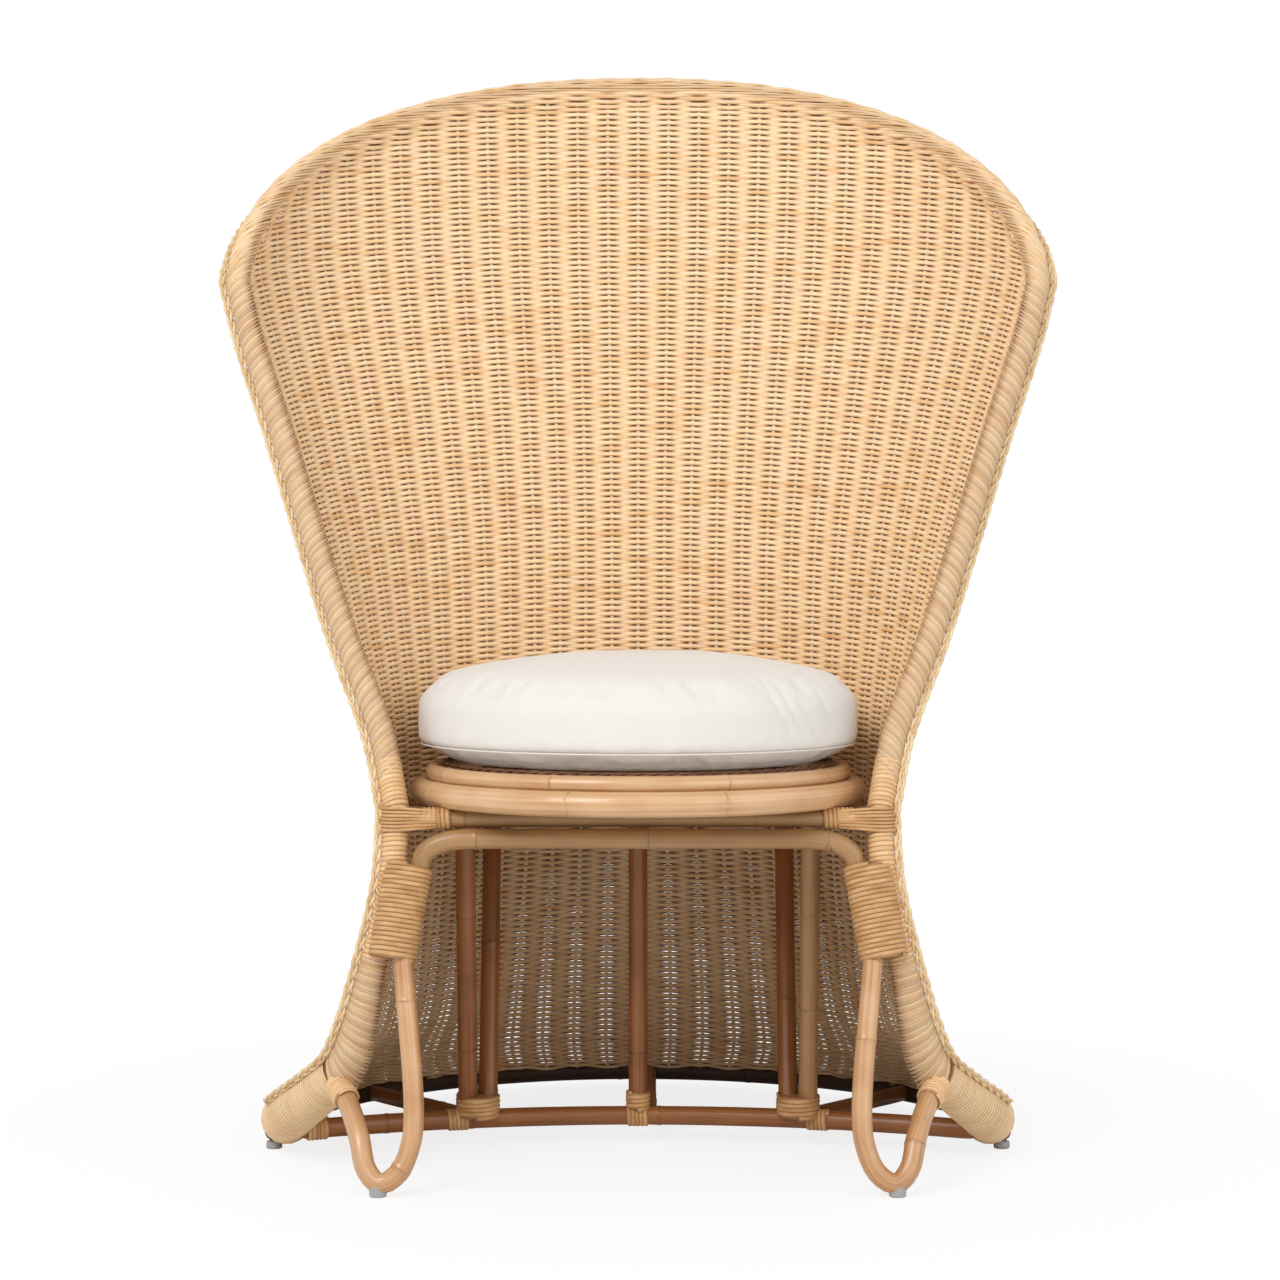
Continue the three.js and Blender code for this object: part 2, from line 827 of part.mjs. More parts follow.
// Poles on the floor level: a stretcher to the back of the hoop, and a brace to each side of it
function stretcher() {
  const from = railAt(stretcherOffset);
  const to = hoopPoint(Math.asin(stretcherOffset / hoopHalfWidth) * 2 / Math.PI);
  const cutters = [railCutter, hoopCutter, centreUprightCutter, centreLashing(seatGap)];
  return cutBy(tubeThrough([from, to], stretcherRadius), cutters);
}

function brace() {
  const line = [railAt(pairCentreX), hoopPoint(braceEndShare)];
  const cutters = [railCutter, hoopCutter, pairFrontCutter, pairRearCutter, pairLashing(seatGap)];
  return cutBy(tubeThrough(line, braceRadius), cutters);
}

// Front arch and legs: one run of pole from leg to leg, parted inside the post bindings
const archHeight = bearerHeight - bearerRadius - seatGap - archRadius;
const postTopHeight = archHeight - postDrop;
const postJointHeight = postTopHeight - postJointDrop;
const postBottomHeight = postTopHeight - postLength;

function legLineAt(height) {
  const share = (height - postBottomHeight) / (postTopHeight - postBottomHeight);
  return new THREE.Vector3(
    THREE.MathUtils.lerp(legTopX, archHalfWidth, share),
    THREE.MathUtils.lerp(legTopY, archY, share),
    height,
  );
}

function archLine() {
  const corner = new THREE.Vector3(archHalfWidth, archY, archHeight);
  const bend = new THREE.QuadraticBezierCurve3(
    legLineAt(postTopHeight),
    corner,
    new THREE.Vector3(archHalfWidth - archBend, archY, archHeight),
  );
  const right = [legLineAt(postJointHeight + seatGap / 2), ...pointsAlong(bend, 6)];
  const left = right.map((p) => new THREE.Vector3(-p.x, p.y, p.z)).reverse();
  return [...right, ...left];
}

function legLine() {
  const run = new THREE.CatmullRomCurve3([
    legLineAt(postBottomHeight),
    new THREE.Vector3(legKneeX, legKneeY, legKneeHeight),
    new THREE.Vector3(legFootX, legFootY, legFootHeight),
    legEnd(),
    edgeNear(),
  ], false, 'centripetal');
  return [legLineAt(postJointHeight - seatGap / 2), ...pointsAlong(run, 18)];
}

// Point of the right edge pole that the leg loop runs into
function edgeNear() {
  return shellPoint(1, legJoinHeight);
}

function legEnd() {
  const near = edgeNear();
  return new THREE.Vector3(near.x - legEndInset, near.y - legEndForward, near.z - legEndDrop);
}

const legPath = legLine();
const edgePoleCutter = rightEdgePole(seatGap);

function postBinding() {
  const top = legLineAt(postTopHeight);
  const bottom = legLineAt(postBottomHeight);
  top.x += postShift;
  const outer = taperedTube(
    [top, bottom],
    [oval(postTopReach, postDepth), oval(postBottomReach, postDepth)],
    16,
  );
  const arch = tubeThrough(archLine(), archRadius + seatGap);
  const leg = tubeThrough(legPath, archRadius + seatGap);
  return cutBy(outer, [arch, leg, edgePoleCutter]);
}

function limbBinding() {
  const end = legPath.length - 1;
  const last = legPath[end];
  const back = legPath[end].clone().sub(legPath[end - 2]).normalize();
  const from = last.clone().addScaledVector(back, -limbBindingLength - edgePoleRadius);
  const line = [from, last];
  const outer = tubeThrough(line, limbBindingRadius, 12);
  return cutBy(outer, [tubeThrough(legPath, archRadius + seatGap), edgePoleCutter, rightWrapCutter]);
}

function railCollar() {
  const inner = bearerRadius + seatGap;
  const outer = bearerRadius + collarWall;
  const profile = [[inner, 0], [outer, 0], [outer, collarLength], [inner, collarLength], [inner, 0]];
  const points = profile.map(([radius, height]) => new THREE.Vector2(radius, height));
  const sleeve = new THREE.LatheGeometry(points, 16).rotateZ(Math.PI / 2);
  sleeve.translate(crossRailEnd() - collarInset, crossRailY, bearerHeight);
  return cutBy(sleeve, [seatRing(lowerRingRadius, lowerRingThickness + 2 * seatGap, lowerRingHeight)]);
}

function glide(x, y, cutters) {
  const disc = new THREE.CylinderGeometry(glideRadius, glideRadius, glideHeight, 20);
  return cutBy(disc.rotateX(Math.PI / 2).translate(x, y, glideHeight / 2), cutters);
}

// Cushion: boxed round form with a piped edge above and below a drawn-in side band
function cushionProfile() {
  const bottom = braidSeatHeight + deckBraidThickness / 2 + seatGap;
  const bandLow = bottom + cushionUnderBulge;
  const bandHigh = bandLow + cushionBandHeight;
  const piping = cushionRadius;
  const neck = cushionRadius - pipingBulge;
  const profile = [[0, bottom]];
  const flatRadius = upperRingRadius - upperRingThickness;
  profile.push([flatRadius, bottom]);
  const under = 4;
  for (let i = 1; i < under; i += 1) {
    const a = i / under * Math.PI / 2;
    profile.push([
      flatRadius + (neck - flatRadius) * Math.sin(a),
      bandLow - pipingBulge - (bandLow - pipingBulge - bottom) * Math.cos(a),
    ]);
  }
  profile.push([neck, bandLow - pipingBulge], [piping, bandLow], [neck, bandLow + pipingBulge]);
  profile.push([neck - cushionDrawIn, (bandLow + bandHigh) / 2]);
  profile.push([neck, bandHigh - pipingBulge], [piping, bandHigh], [neck, bandHigh + pipingBulge]);
  const crown = 8;
  for (let i = 1; i <= crown; i += 1) {
    const a = i / crown * Math.PI / 2;
    profile.push([
      neck * Math.cos(a) ** crownRoundingShare,
      bandHigh + pipingBulge + cushionCrown * Math.sin(a),
    ]);
  }
  profile[profile.length - 1][0] = 0;
  return profile;
}

// Assembly: woven shell
const poleCutters = [edgePoleCutter, mirrored(edgePoleCutter)];
const wrapCutters = [rightWrapCutter, leftWrapCutter];
addPiece('woven_back', cutBy(wovenBack(), poleCutters), 'weave');
addPiece('woven_skirt', cutBy(wovenSkirt(), [...poleCutters, ...wrapCutters]), 'weave');
addPiece('top_rim_pole', rimPole(), 'wrap');
addPair('edge_pole', cutBy(rightEdgePole(0), [rightWrapCutter]), 'wrap');
addPair('edge_braid', edgeBraid(), 'weave');
addPiece('rim_braid', rimBraid(), 'weave');
addPair('foot_wrap', footWrap(0), 'wrap');
addPiece('base_hoop', cutBy(tubeThrough(hoopLine, hoopRadius), wrapCutters), 'darkPole');
addPiece('base_rail', cutBy(tubeThrough(railLine, railRadius), wrapCutters), 'pole');
addPiece('base_braid', cutBy(baseBraid(), wrapCutters), 'weave');
addPiece('waist_hoop', tubeThrough(waistHoopLine, waistHoopRadius), 'pole');

// Assembly: seat
addPiece('lower_seat_ring', seatRing(lowerRingRadius, lowerRingThickness, lowerRingHeight), 'pole');
addPiece('upper_seat_ring', seatRing(upperRingRadius, upperRingThickness, upperRingHeight), 'pole');
addPiece('seat_deck', seatDeck(), 'weave');
const deckBraidRadius = deckRadius - deckBraidInset;
addPiece('deck_braid', seatRing(deckBraidRadius, deckBraidThickness, braidSeatHeight, 6), 'darkPole');
addPiece('front_bearer', cutBy(tubeThrough(frontBearerLine, bearerRadius), [waistHoopCutter]), 'pole');
addPiece('rear_bearer', cutBy(tubeThrough(rearBearerLine, bearerRadius), [waistHoopCutter]), 'pole');
addPiece('spine_bearer', tubeThrough(spineBearerLine, bearerRadius), 'pole');
const crossRailLine = acrossLine(crossRailEnd(), crossRailY, bearerHeight);
addPiece('seat_cross_rail', tubeThrough(crossRailLine, bearerRadius), 'pole');
addPair('rail_collar', railCollar(), 'wrap');
addPiece('seat_arch', tubeThrough(archLine(), archRadius), 'pole');

// Assembly: under-frame
const frontUpright = tubeThrough(pairFrontLine, uprightRadius);
const rearUpright = tubeThrough(pairRearLine, uprightRadius);
const centreUpright = tubeThrough(centreUprightLine, uprightRadius);
addPair('front_upright', cutBy(frontUpright, [railCutter, frontBearerCutter]), 'pole');
addPair('rear_upright', cutBy(rearUpright, [railCutter, rearBearerCutter]), 'pole');
addPiece('centre_upright', cutBy(centreUpright, [railCutter, spineBearerCutter]), 'pole');
addPair('leg_loop', cutBy(tubeThrough(legPath, archRadius), [edgePoleCutter, rightWrapCutter]), 'pole');
addPair('post_binding', postBinding(), 'wrap');
addPair('limb_binding', limbBinding(), 'wrap');

const pairCutters = [railCutter, pairFrontCutter, pairRearCutter];
addPair('pair_binding', cutBy(pairLashing(0), pairCutters), 'wrap');
addPiece('centre_binding', cutBy(centreLashing(0), [railCutter, centreUprightCutter]), 'wrap');
addPiece('centre_stretcher', stretcher(), 'darkPole');
addPair('brace', brace(), 'darkPole');

// Assembly: glides
const rearGlidePlace = hoopPoint(Math.asin(rearGlideX / hoopHalfWidth) * 2 / Math.PI);
const legCutter = tubeThrough(legPath, archRadius + seatGap);
addPair('leg_glide', glide(legFootX, legFootY, [legCutter]), 'glide');
addPair('foot_glide', glide(footHalfWidth, footEdgeY, [rightWrapCutter]), 'glide');
addPair('rear_glide', glide(rearGlideX, rearGlidePlace.y, [hoopCutter]), 'glide');

// Assembly: cushion
addPiece('seat_cushion', turned(cushionProfile(), ringSegments, cushionCentreY), 'cotton');

// The origin lies on the floor, under the middle of the chair's box
const bounds = new THREE.Box3().setFromObject(chair);
chair.position.y = -(bounds.min.y + bounds.max.y) / 2;
const root = new THREE.Group();
root.add(chair);
export default root;
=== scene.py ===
"""Peacock chair in natural rattan, dressed for the photograph.

The shell, poles, windings and braids follow the same sizes as the chair's solids.
Lengths are written in millimetres in the chair's design frame and turned to metres
in the row frame, where the floor is z = 0 and the chair faces -Y.
"""

import logging
import math
from dataclasses import dataclass, field
from enum import Enum
from functools import lru_cache
from typing import Callable, Optional, Sequence

import bmesh
import bpy
import numpy as np
from bpy.types import Material, Node, NodeTree, Object
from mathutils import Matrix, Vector

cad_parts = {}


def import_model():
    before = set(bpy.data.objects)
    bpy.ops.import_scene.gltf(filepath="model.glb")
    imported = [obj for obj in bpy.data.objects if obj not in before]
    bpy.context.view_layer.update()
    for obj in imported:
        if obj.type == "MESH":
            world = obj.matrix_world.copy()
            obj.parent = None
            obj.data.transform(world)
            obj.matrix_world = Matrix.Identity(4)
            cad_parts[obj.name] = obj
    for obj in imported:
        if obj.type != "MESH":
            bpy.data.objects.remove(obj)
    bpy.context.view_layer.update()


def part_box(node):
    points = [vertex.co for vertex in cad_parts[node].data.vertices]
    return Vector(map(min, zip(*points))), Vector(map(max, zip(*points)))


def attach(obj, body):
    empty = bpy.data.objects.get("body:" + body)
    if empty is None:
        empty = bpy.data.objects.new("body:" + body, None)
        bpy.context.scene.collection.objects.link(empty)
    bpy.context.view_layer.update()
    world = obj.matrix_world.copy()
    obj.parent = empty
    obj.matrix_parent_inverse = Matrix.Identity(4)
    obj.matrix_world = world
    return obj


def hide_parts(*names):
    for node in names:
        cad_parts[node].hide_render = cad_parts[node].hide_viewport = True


log = logging.getLogger("peacock_chair")

Pair = tuple[float, float]
Triple = tuple[float, float, float]

MM = 0.001
DEPTH_SHIFT = -66.0
FIT_GAP = 0.3


class Slot(Enum):
    """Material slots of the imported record."""

    WEAVE = "rattan_weave"
    WRAP = "rattan_wrap"
    POLE = "rattan_pole"
    DARK_POLE = "rattan_dark"
    GLIDE = "glide_plastic"
    COTTON = "cushion_cotton"


class Side(Enum):
    """The two sides of the chair, as signs of x."""

    LEFT = -1
    RIGHT = 1

    @property
    def word(self) -> str:
        """The side's word in piece names."""
        return self.name.lower()


def linear(hex_colour: int) -> tuple[float, float, float, float]:
    """Turns an sRGB hex colour to linear red, green, blue and alpha.

    Args:
        hex_colour: The colour as 0xRRGGBB.

    Returns:
        Four linear channel values.
    """
    channels = [(hex_colour >> shift & 255) / 255 for shift in (16, 8, 0)]
    values = [c / 12.92 if c <= 0.04045 else ((c + 0.055) / 1.055) ** 2.4 for c in channels]
    return (values[0], values[1], values[2], 1.0)


def to_frame(points: np.ndarray) -> np.ndarray:
    """Turns design points in millimetres to row-frame points in metres.

    Args:
        points: Array whose last axis holds x, y and z.

    Returns:
        An array of the same shape.
    """
    return (np.asarray(points, float) + np.array([0.0, DEPTH_SHIFT, 0.0])) * MM


def unit(vectors: np.ndarray) -> np.ndarray:
    """Vectors along the last axis, scaled to length one."""
    return vectors / np.maximum(np.linalg.norm(vectors, axis=-1, keepdims=True), 1e-12)


def run_length(points: np.ndarray) -> np.ndarray:
    """Distance along a line from its start to each of its points."""
    return np.concatenate([[0], np.cumsum(np.linalg.norm(np.diff(points, axis=0), axis=1))])


def read_line(at: np.ndarray, known: np.ndarray, points: np.ndarray) -> np.ndarray:
    """Points or vectors of a line, read at new distances along it."""
    return np.stack([np.interp(at, known, points[:, c]) for c in range(3)], -1)


def smooth_step(value: np.ndarray, low: float, high: float) -> np.ndarray:
    """Soft step from 0 at low to 1 at high.

    Args:
        value: Where to read the step.
        low: Where it leaves 0.
        high: Where it reaches 1.

    Returns:
        The step's height.
    """
    share = np.clip((np.asarray(value, float) - low) / (high - low), 0, 1)
    return share * share * (3 - 2 * share)


# Materials


def add_node(tree: NodeTree, kind: str, settings: Optional[dict] = None,
             links: Optional[dict] = None) -> Node:
    """Adds a shader node with its settings and its links.

    Args:
        tree: The material's node tree.
        kind: The node's type name.
        settings: Values by input name or number, or by property name after a dot.
        links: Output sockets by the input that they feed.

    Returns:
        The new node.
    """
    node = tree.nodes.new(kind)
    for key, value in (settings or {}).items():
        if isinstance(key, str) and key.startswith("."):
            setattr(node, key[1:], value)
        else:
            node.inputs[key].default_value = value
    for key, socket in (links or {}).items():
        tree.links.new(socket, node.inputs[key])
    return node


def set_ramp(node: Node, stops: Sequence[tuple[float, int]]) -> None:
    """Puts colour stops on a ramp.

    Args:
        node: The colour ramp node.
        stops: Place and sRGB hex colour of each stop.
    """
    elements = node.color_ramp.elements
    while len(elements) < len(stops):
        elements.new(0.5)
    for element, (place, colour) in zip(elements, stops):
        element.position = place
        element.color = linear(colour)


def new_material(name: str, settings: dict) -> tuple[Material, NodeTree, Node]:
    """Makes a material with a single principled shader.

    Args:
        name: The material's name.
        settings: Values by the name of the shader's input.

    Returns:
        The material, its tree and its shader.
    """
    material = bpy.data.materials.new(name)
    material.use_nodes = True
    tree = material.node_tree
    tree.nodes.clear()
    shader = add_node(tree, "ShaderNodeBsdfPrincipled", settings)
    add_node(tree, "ShaderNodeOutputMaterial", links={"Surface": shader.outputs["BSDF"]})
    return material, tree, shader


@dataclass(frozen=True)
class RattanCore:
    """Rattan core or peel drawn to round strands, woven damp and left bare.

    The eye sees cream and honey strands, each a little paler, pinker or yellower than the
    next and changing along its length, with a soft sheen and no clear gloss. Its
    fibres are drawn 2 mm apart, coarser than the real 0.5 mm, so that they show.
    Where the dark attribute asks, the colour is mixed towards a brown of painted shade,
    in the hollows between strands and on their sides facing in.
    """

    name: str
    slot: Slot
    tones: tuple[tuple[float, int], ...]
    roughness: float = 0.5
    tone_length: float = 90.0
    # The brown of the painted shade, and how far it is mixed in where the dark attribute is 1.
    painted_shade_colour: int = 0x753F14
    painted_shade_share: float = 0.95
    strand_step: float = 3.71
    fibre_drawn: float = 2.0
    fibre_depth: float = 0.3
    ior: float = 1.47

    @lru_cache(maxsize=None)
    def build(self) -> Material:
        """Makes the material; its UV holds the strand's number and millimetres along it.

        Returns:
            The material.
        """
        material, tree, shader = new_material(
            self.name, {"Roughness": self.roughness, "IOR": self.ior})
        uv = add_node(tree, "ShaderNodeUVMap", {".uv_map": "strand"})
        split = add_node(tree, "ShaderNodeSeparateXYZ", links={0: uv.outputs["UV"]})
        number = add_node(tree, "ShaderNodeMath", {".operation": "MULTIPLY", 1: self.strand_step},
                          {0: split.outputs["X"]})
        along = add_node(tree, "ShaderNodeMath", {".operation": "DIVIDE", 1: self.tone_length},
                         {0: split.outputs["Y"]})
        place = add_node(tree, "ShaderNodeCombineXYZ",
                         links={"X": number.outputs[0], "Y": along.outputs[0]})
        tone = add_node(tree, "ShaderNodeTexNoise", {"Scale": 1.0, "Detail": 3.0},
                        {"Vector": place.outputs[0]})
        ramp = add_node(tree, "ShaderNodeValToRGB", links={"Fac": tone.outputs["Fac"]})
        set_ramp(ramp, self.tones)
        # The dark attribute holds painted shade: hollows between strands, their sides facing in,
        # the skirt's inner side, the edge roll, and cores seen between turns.
        dark = add_node(tree, "ShaderNodeAttribute", {".attribute_name": "dark"})
        share = add_node(tree, "ShaderNodeMath", {".operation": "MULTIPLY", 1: self.painted_shade_share},
                         {0: dark.outputs["Fac"]})
        shaded = add_node(tree, "ShaderNodeMix", {".data_type": "RGBA",
                          7: linear(self.painted_shade_colour)},
                          {0: share.outputs[0], 6: ramp.outputs["Color"]})
        tree.links.new(shaded.outputs[2], shader.inputs["Base Color"])
        fine = add_node(tree, "ShaderNodeTexCoord")
        grain = add_node(tree, "ShaderNodeTexNoise", {"Scale": 1 / (self.fibre_drawn * MM)},
                         {"Vector": fine.outputs["Object"]})
        bump = add_node(tree, "ShaderNodeBump",
                        {"Strength": 0.15, "Distance": self.fibre_depth * MM},
                        {"Height": grain.outputs["Fac"]})
        tree.links.new(bump.outputs["Normal"], shader.inputs["Normal"])
        return material


@dataclass(frozen=True)
class RattanPole:
    """Whole rattan cane with its skin on, sanded and varnished.

    The eye sees a glossy, gently streaked pole with a darker ring at each node, which
    is rubbed away in places.
    """

    name: str
    slot: Slot
    streaks: tuple[tuple[float, int], ...]
    node_colour: int
    roughness: float = 0.32
    coat: float = 0.35
    streak_width: float = 1.6
    streak_length: float = 160.0
    streak_depth: float = 0.2
    blotch_size: float = 1000 / 14
    wear_size: float = 1000 / 70
    wear: tuple[float, float, float, float] = (0.35, 0.68, 0.1, 0.85)
    ior: float = 1.5
    coat_roughness: float = 0.18

    @lru_cache(maxsize=None)
    def build(self) -> Material:
        """Makes the material; its UV holds millimetres round and along the pole.

        Returns:
            The material.
        """
        material, tree, shader = new_material(self.name, {
            "Roughness": self.roughness, "IOR": self.ior,
            "Coat Weight": self.coat, "Coat Roughness": self.coat_roughness})
        uv = add_node(tree, "ShaderNodeUVMap", {".uv_map": "strand"})
        scaled = add_node(tree, "ShaderNodeVectorMath", {".operation": "MULTIPLY",
                          1: (1 / self.streak_width, 1 / self.streak_length, 0.0)},
                          {0: uv.outputs["UV"]})
        streak = add_node(tree, "ShaderNodeTexNoise", {"Scale": 0.45, "Detail": 4.0},
                          {"Vector": scaled.outputs[0]})
        place = add_node(tree, "ShaderNodeTexCoord")
        blotch = add_node(tree, "ShaderNodeTexNoise",
                          {"Scale": 1 / (self.blotch_size * MM), "Detail": 2.0},
                          {"Vector": place.outputs["Object"]})
        mixed = add_node(tree, "ShaderNodeMix", {".data_type": "FLOAT", 0: 0.45},
                         {2: streak.outputs["Fac"], 3: blotch.outputs["Fac"]})
        ramp = add_node(tree, "ShaderNodeValToRGB", links={"Fac": mixed.outputs[0]})
        set_ramp(ramp, self.streaks)
        ring = add_node(tree, "ShaderNodeAttribute", {".attribute_name": "dark"})
        worn = add_node(tree, "ShaderNodeTexNoise",
                        {"Scale": 1 / (self.wear_size * MM), "Detail": 2.0},
                        {"Vector": place.outputs["Object"]})
        patchy = add_node(tree, "ShaderNodeMapRange", dict(enumerate(self.wear, 1)),
                          {0: worn.outputs["Fac"]})
        faint = add_node(tree, "ShaderNodeMath", {".operation": "MULTIPLY"},
                         {0: ring.outputs["Fac"], 1: patchy.outputs[0]})
        darker = add_node(tree, "ShaderNodeMix", {".data_type": "RGBA", ".blend_type": "MIX",
                          7: linear(self.node_colour)},
                          {0: faint.outputs[0], 6: ramp.outputs["Color"]})
        tree.links.new(darker.outputs[2], shader.inputs["Base Color"])
        bump = add_node(tree, "ShaderNodeBump",
                        {"Strength": 0.2, "Distance": self.streak_depth * MM},
                        {"Height": streak.outputs["Fac"]})
        tree.links.new(bump.outputs["Normal"], shader.inputs["Normal"])
        return material


@dataclass(frozen=True)
class CottonCanvas:
    """White cotton canvas, plain woven, sewn over a soft fill.

    The eye sees a matt, slightly warm white with a faint thread grain and soft creases.
    The threads are drawn 1.6 mm apart, coarser than the real 0.6 mm, so that they show.
    """

    name: str = "white cotton canvas, plain woven"
    slot: Slot = Slot.COTTON
    colour: int = 0xE2DDD6
    roughness: float = 0.92
    sheen: float = 0.25
    thread: float = 1.6
    thread_depth: float = 0.3
    crease: float = 70.0
    crease_depth: float = 4.0

    @lru_cache(maxsize=None)
    def build(self) -> Material:
        """Makes the material on object coordinates.

        Returns:
            The material.
        """
        material, tree, shader = new_material(self.name, {
            "Base Color": linear(self.colour), "Roughness": self.roughness,
            "Sheen Weight": self.sheen})
        place = add_node(tree, "ShaderNodeTexCoord")
        scale = 1 / (self.thread * MM) / 6
        warp, weft = (add_node(tree, "ShaderNodeTexWave", {".bands_direction": way, "Scale": scale},
                               {"Vector": place.outputs["Object"]}) for way in "XY")
        cloth = add_node(tree, "ShaderNodeMath", {".operation": "ADD"},
                         {0: warp.outputs["Fac"], 1: weft.outputs["Fac"]})
        threads = add_node(tree, "ShaderNodeBump",
                           {"Strength": 0.08, "Distance": self.thread_depth * MM},
                           {"Height": cloth.outputs[0]})
        soft = add_node(tree, "ShaderNodeTexNoise",
                        {"Scale": 1 / (self.crease * MM), "Detail": 3.0, "Distortion": 1.2},
                        {"Vector": place.outputs["Object"]})
        folds = add_node(tree, "ShaderNodeBump",
                         {"Strength": 0.35, "Distance": self.crease_depth * MM},
                         {"Height": soft.outputs["Fac"], "Normal": threads.outputs["Normal"]})
        tree.links.new(folds.outputs["Normal"], shader.inputs["Normal"])
        return material


@dataclass(frozen=True)
class MouldedPlastic:
    """Grey polyethylene glide, moulded with a fine satin surface.

    The eye sees a plain mid grey with a broad dull highlight.
    """

    name: str = "grey polyethylene, moulded satin"
    slot: Slot = Slot.GLIDE
    colour: int = 0xA2A2A2
    roughness: float = 0.5
    grit: float = 0.8
    grit_depth: float = 0.05

    @lru_cache(maxsize=None)
    def build(self) -> Material:
        """Makes the material on object coordinates.

        Returns:
            The material.
        """
        material, tree, shader = new_material(self.name, {
            "Base Color": linear(self.colour), "Roughness": self.roughness})
        place = add_node(tree, "ShaderNodeTexCoord")
        grain = add_node(tree, "ShaderNodeTexNoise", {"Scale": 1 / (self.grit * MM)},
                         {"Vector": place.outputs["Object"]})
        bump = add_node(tree, "ShaderNodeBump", {"Strength": 0.1, "Distance": self.grit_depth * MM},
                        {"Height": grain.outputs["Fac"]})
        tree.links.new(bump.outputs["Normal"], shader.inputs["Normal"])
        return material


Finish = RattanCore | RattanPole | CottonCanvas | MouldedPlastic

# Undyed strands of back, skirt and deck: cream to honey, no two alike, with painted shade in their
# hollows.
WEAVE_CORE = RattanCore(
    "natural rattan core, woven round strands", Slot.WEAVE,
    ((0.25, 0xE2B17A), (0.42, 0xF0CB9A), (0.52, 0xF6D8AC), (0.62, 0xF1CAA1), (0.8, 0xF9E1BC)))
# Thicker upright stakes, palest of all, seen between the rows.
STAKE_CORE = RattanCore(
    "natural rattan core, upright stakes", Slot.WEAVE,
    ((0.3, 0xF3DDB4), (0.6, 0xFAEBC9), (0.8, 0xFCF1D6)), 0.45, 120.0)
# Plaits along the edges: a shade yellower, with tones that change quickly.
BRAID_CORE = RattanCore(
    "natural rattan core, plaited strands", Slot.WEAVE,
    ((0.3, 0xD9B07E), (0.48, 0xE8CA9A), (0.6, 0xEFD8AE), (0.75, 0xEBD09C)), 0.5, 30.0)
# Peel, with its skin on, wound at the joints: honey darkened to brown with painted shade from the
# seat above; a little shiny.
SHADED_JOINT_PEEL = RattanCore(
    "rattan peel, bindings", Slot.WRAP,
    ((0.25, 0xAE7A48), (0.42, 0xC0905C), (0.58, 0xCFA26F), (0.8, 0xDEBB8C)), 0.4, 34.0)
# Peel round the edge poles and leg ends: light honey and a little shiny.
WRAP_PEEL = RattanCore(
    "natural rattan peel, wound", Slot.WRAP,
    ((0.25, 0xD2A06C), (0.45, 0xE2B682), (0.6, 0xEAC593), (0.8, 0xEFD0A2)), 0.36, 60.0)
# Fine peel on the feet: pale, even and matt from rubbing.
FOOT_PEEL = RattanCore(
    "natural rattan peel, wound tight and rubbed smooth", Slot.WRAP,
    ((0.25, 0xD9B285), (0.5, 0xE6C599), (0.8, 0xEED2A9)), 0.5, 60.0)
# Dark brown strands round the deck: a dark line under the cushion.
DARK_BRAID = RattanCore(
    "smoked rattan core, plaited strands", Slot.DARK_POLE,
    ((0.3, 0x5A3A24), (0.6, 0x7C5437), (0.8, 0x916645)), 0.5, 30.0)
# Seat rings: light honey under clear varnish.
HONEY_POLE = RattanPole(
    "varnished rattan cane, honey", Slot.POLE,
    ((0.3, 0xAA784A), (0.42, 0xCA9C6D), (0.55, 0xD5AC80), (0.7, 0xDEBB93)), 0x8A5B35)
# Front legs: honey with amber stains from the bending flame.
AMBER_POLE = RattanPole(
    "varnished rattan cane, amber", Slot.POLE,
    ((0.32, 0x9A6338), (0.43, 0xBC895A), (0.55, 0xCFA274), (0.7, 0xDAB289)), 0x7C4B2B)
# Arch, bearers and one upright: honey cane darkened with painted shade, for the seat's shade over
# them.
SHADED_HONEY_POLE = RattanPole(
    "varnished rattan cane, tan", Slot.POLE,
    ((0.3, 0x865F36), (0.45, 0xA0784C), (0.6, 0xAD8455), (0.75, 0xB58E60)), 0x6E4A2D, 0.36, 0.15)
# Base rail, uprights and braces: red brown, little gloss.
BROWN_POLE = RattanPole(
    "varnished rattan cane, brown", Slot.DARK_POLE,
    ((0.3, 0x693B1B), (0.45, 0x865025), (0.6, 0x98602E), (0.75, 0xA46D38)), 0x4A2A17, 0.4, 0.1)
# Hoop under the skirt: cane darkened to nearly black with painted shadow, for the skirt's shade
# over it; no varnish.
SHADOWED_HOOP_POLE = RattanPole(
    "smoked rattan cane, dark", Slot.DARK_POLE,
    ((0.3, 0x27150A), (0.5, 0x341D0F), (0.7, 0x402614)), 0x1E110A, 0.6, 0.0)
# Cover and welt of the cushion.
COTTON = CottonCanvas()
# All six glides.
PLASTIC = MouldedPlastic()


# Swept meshes


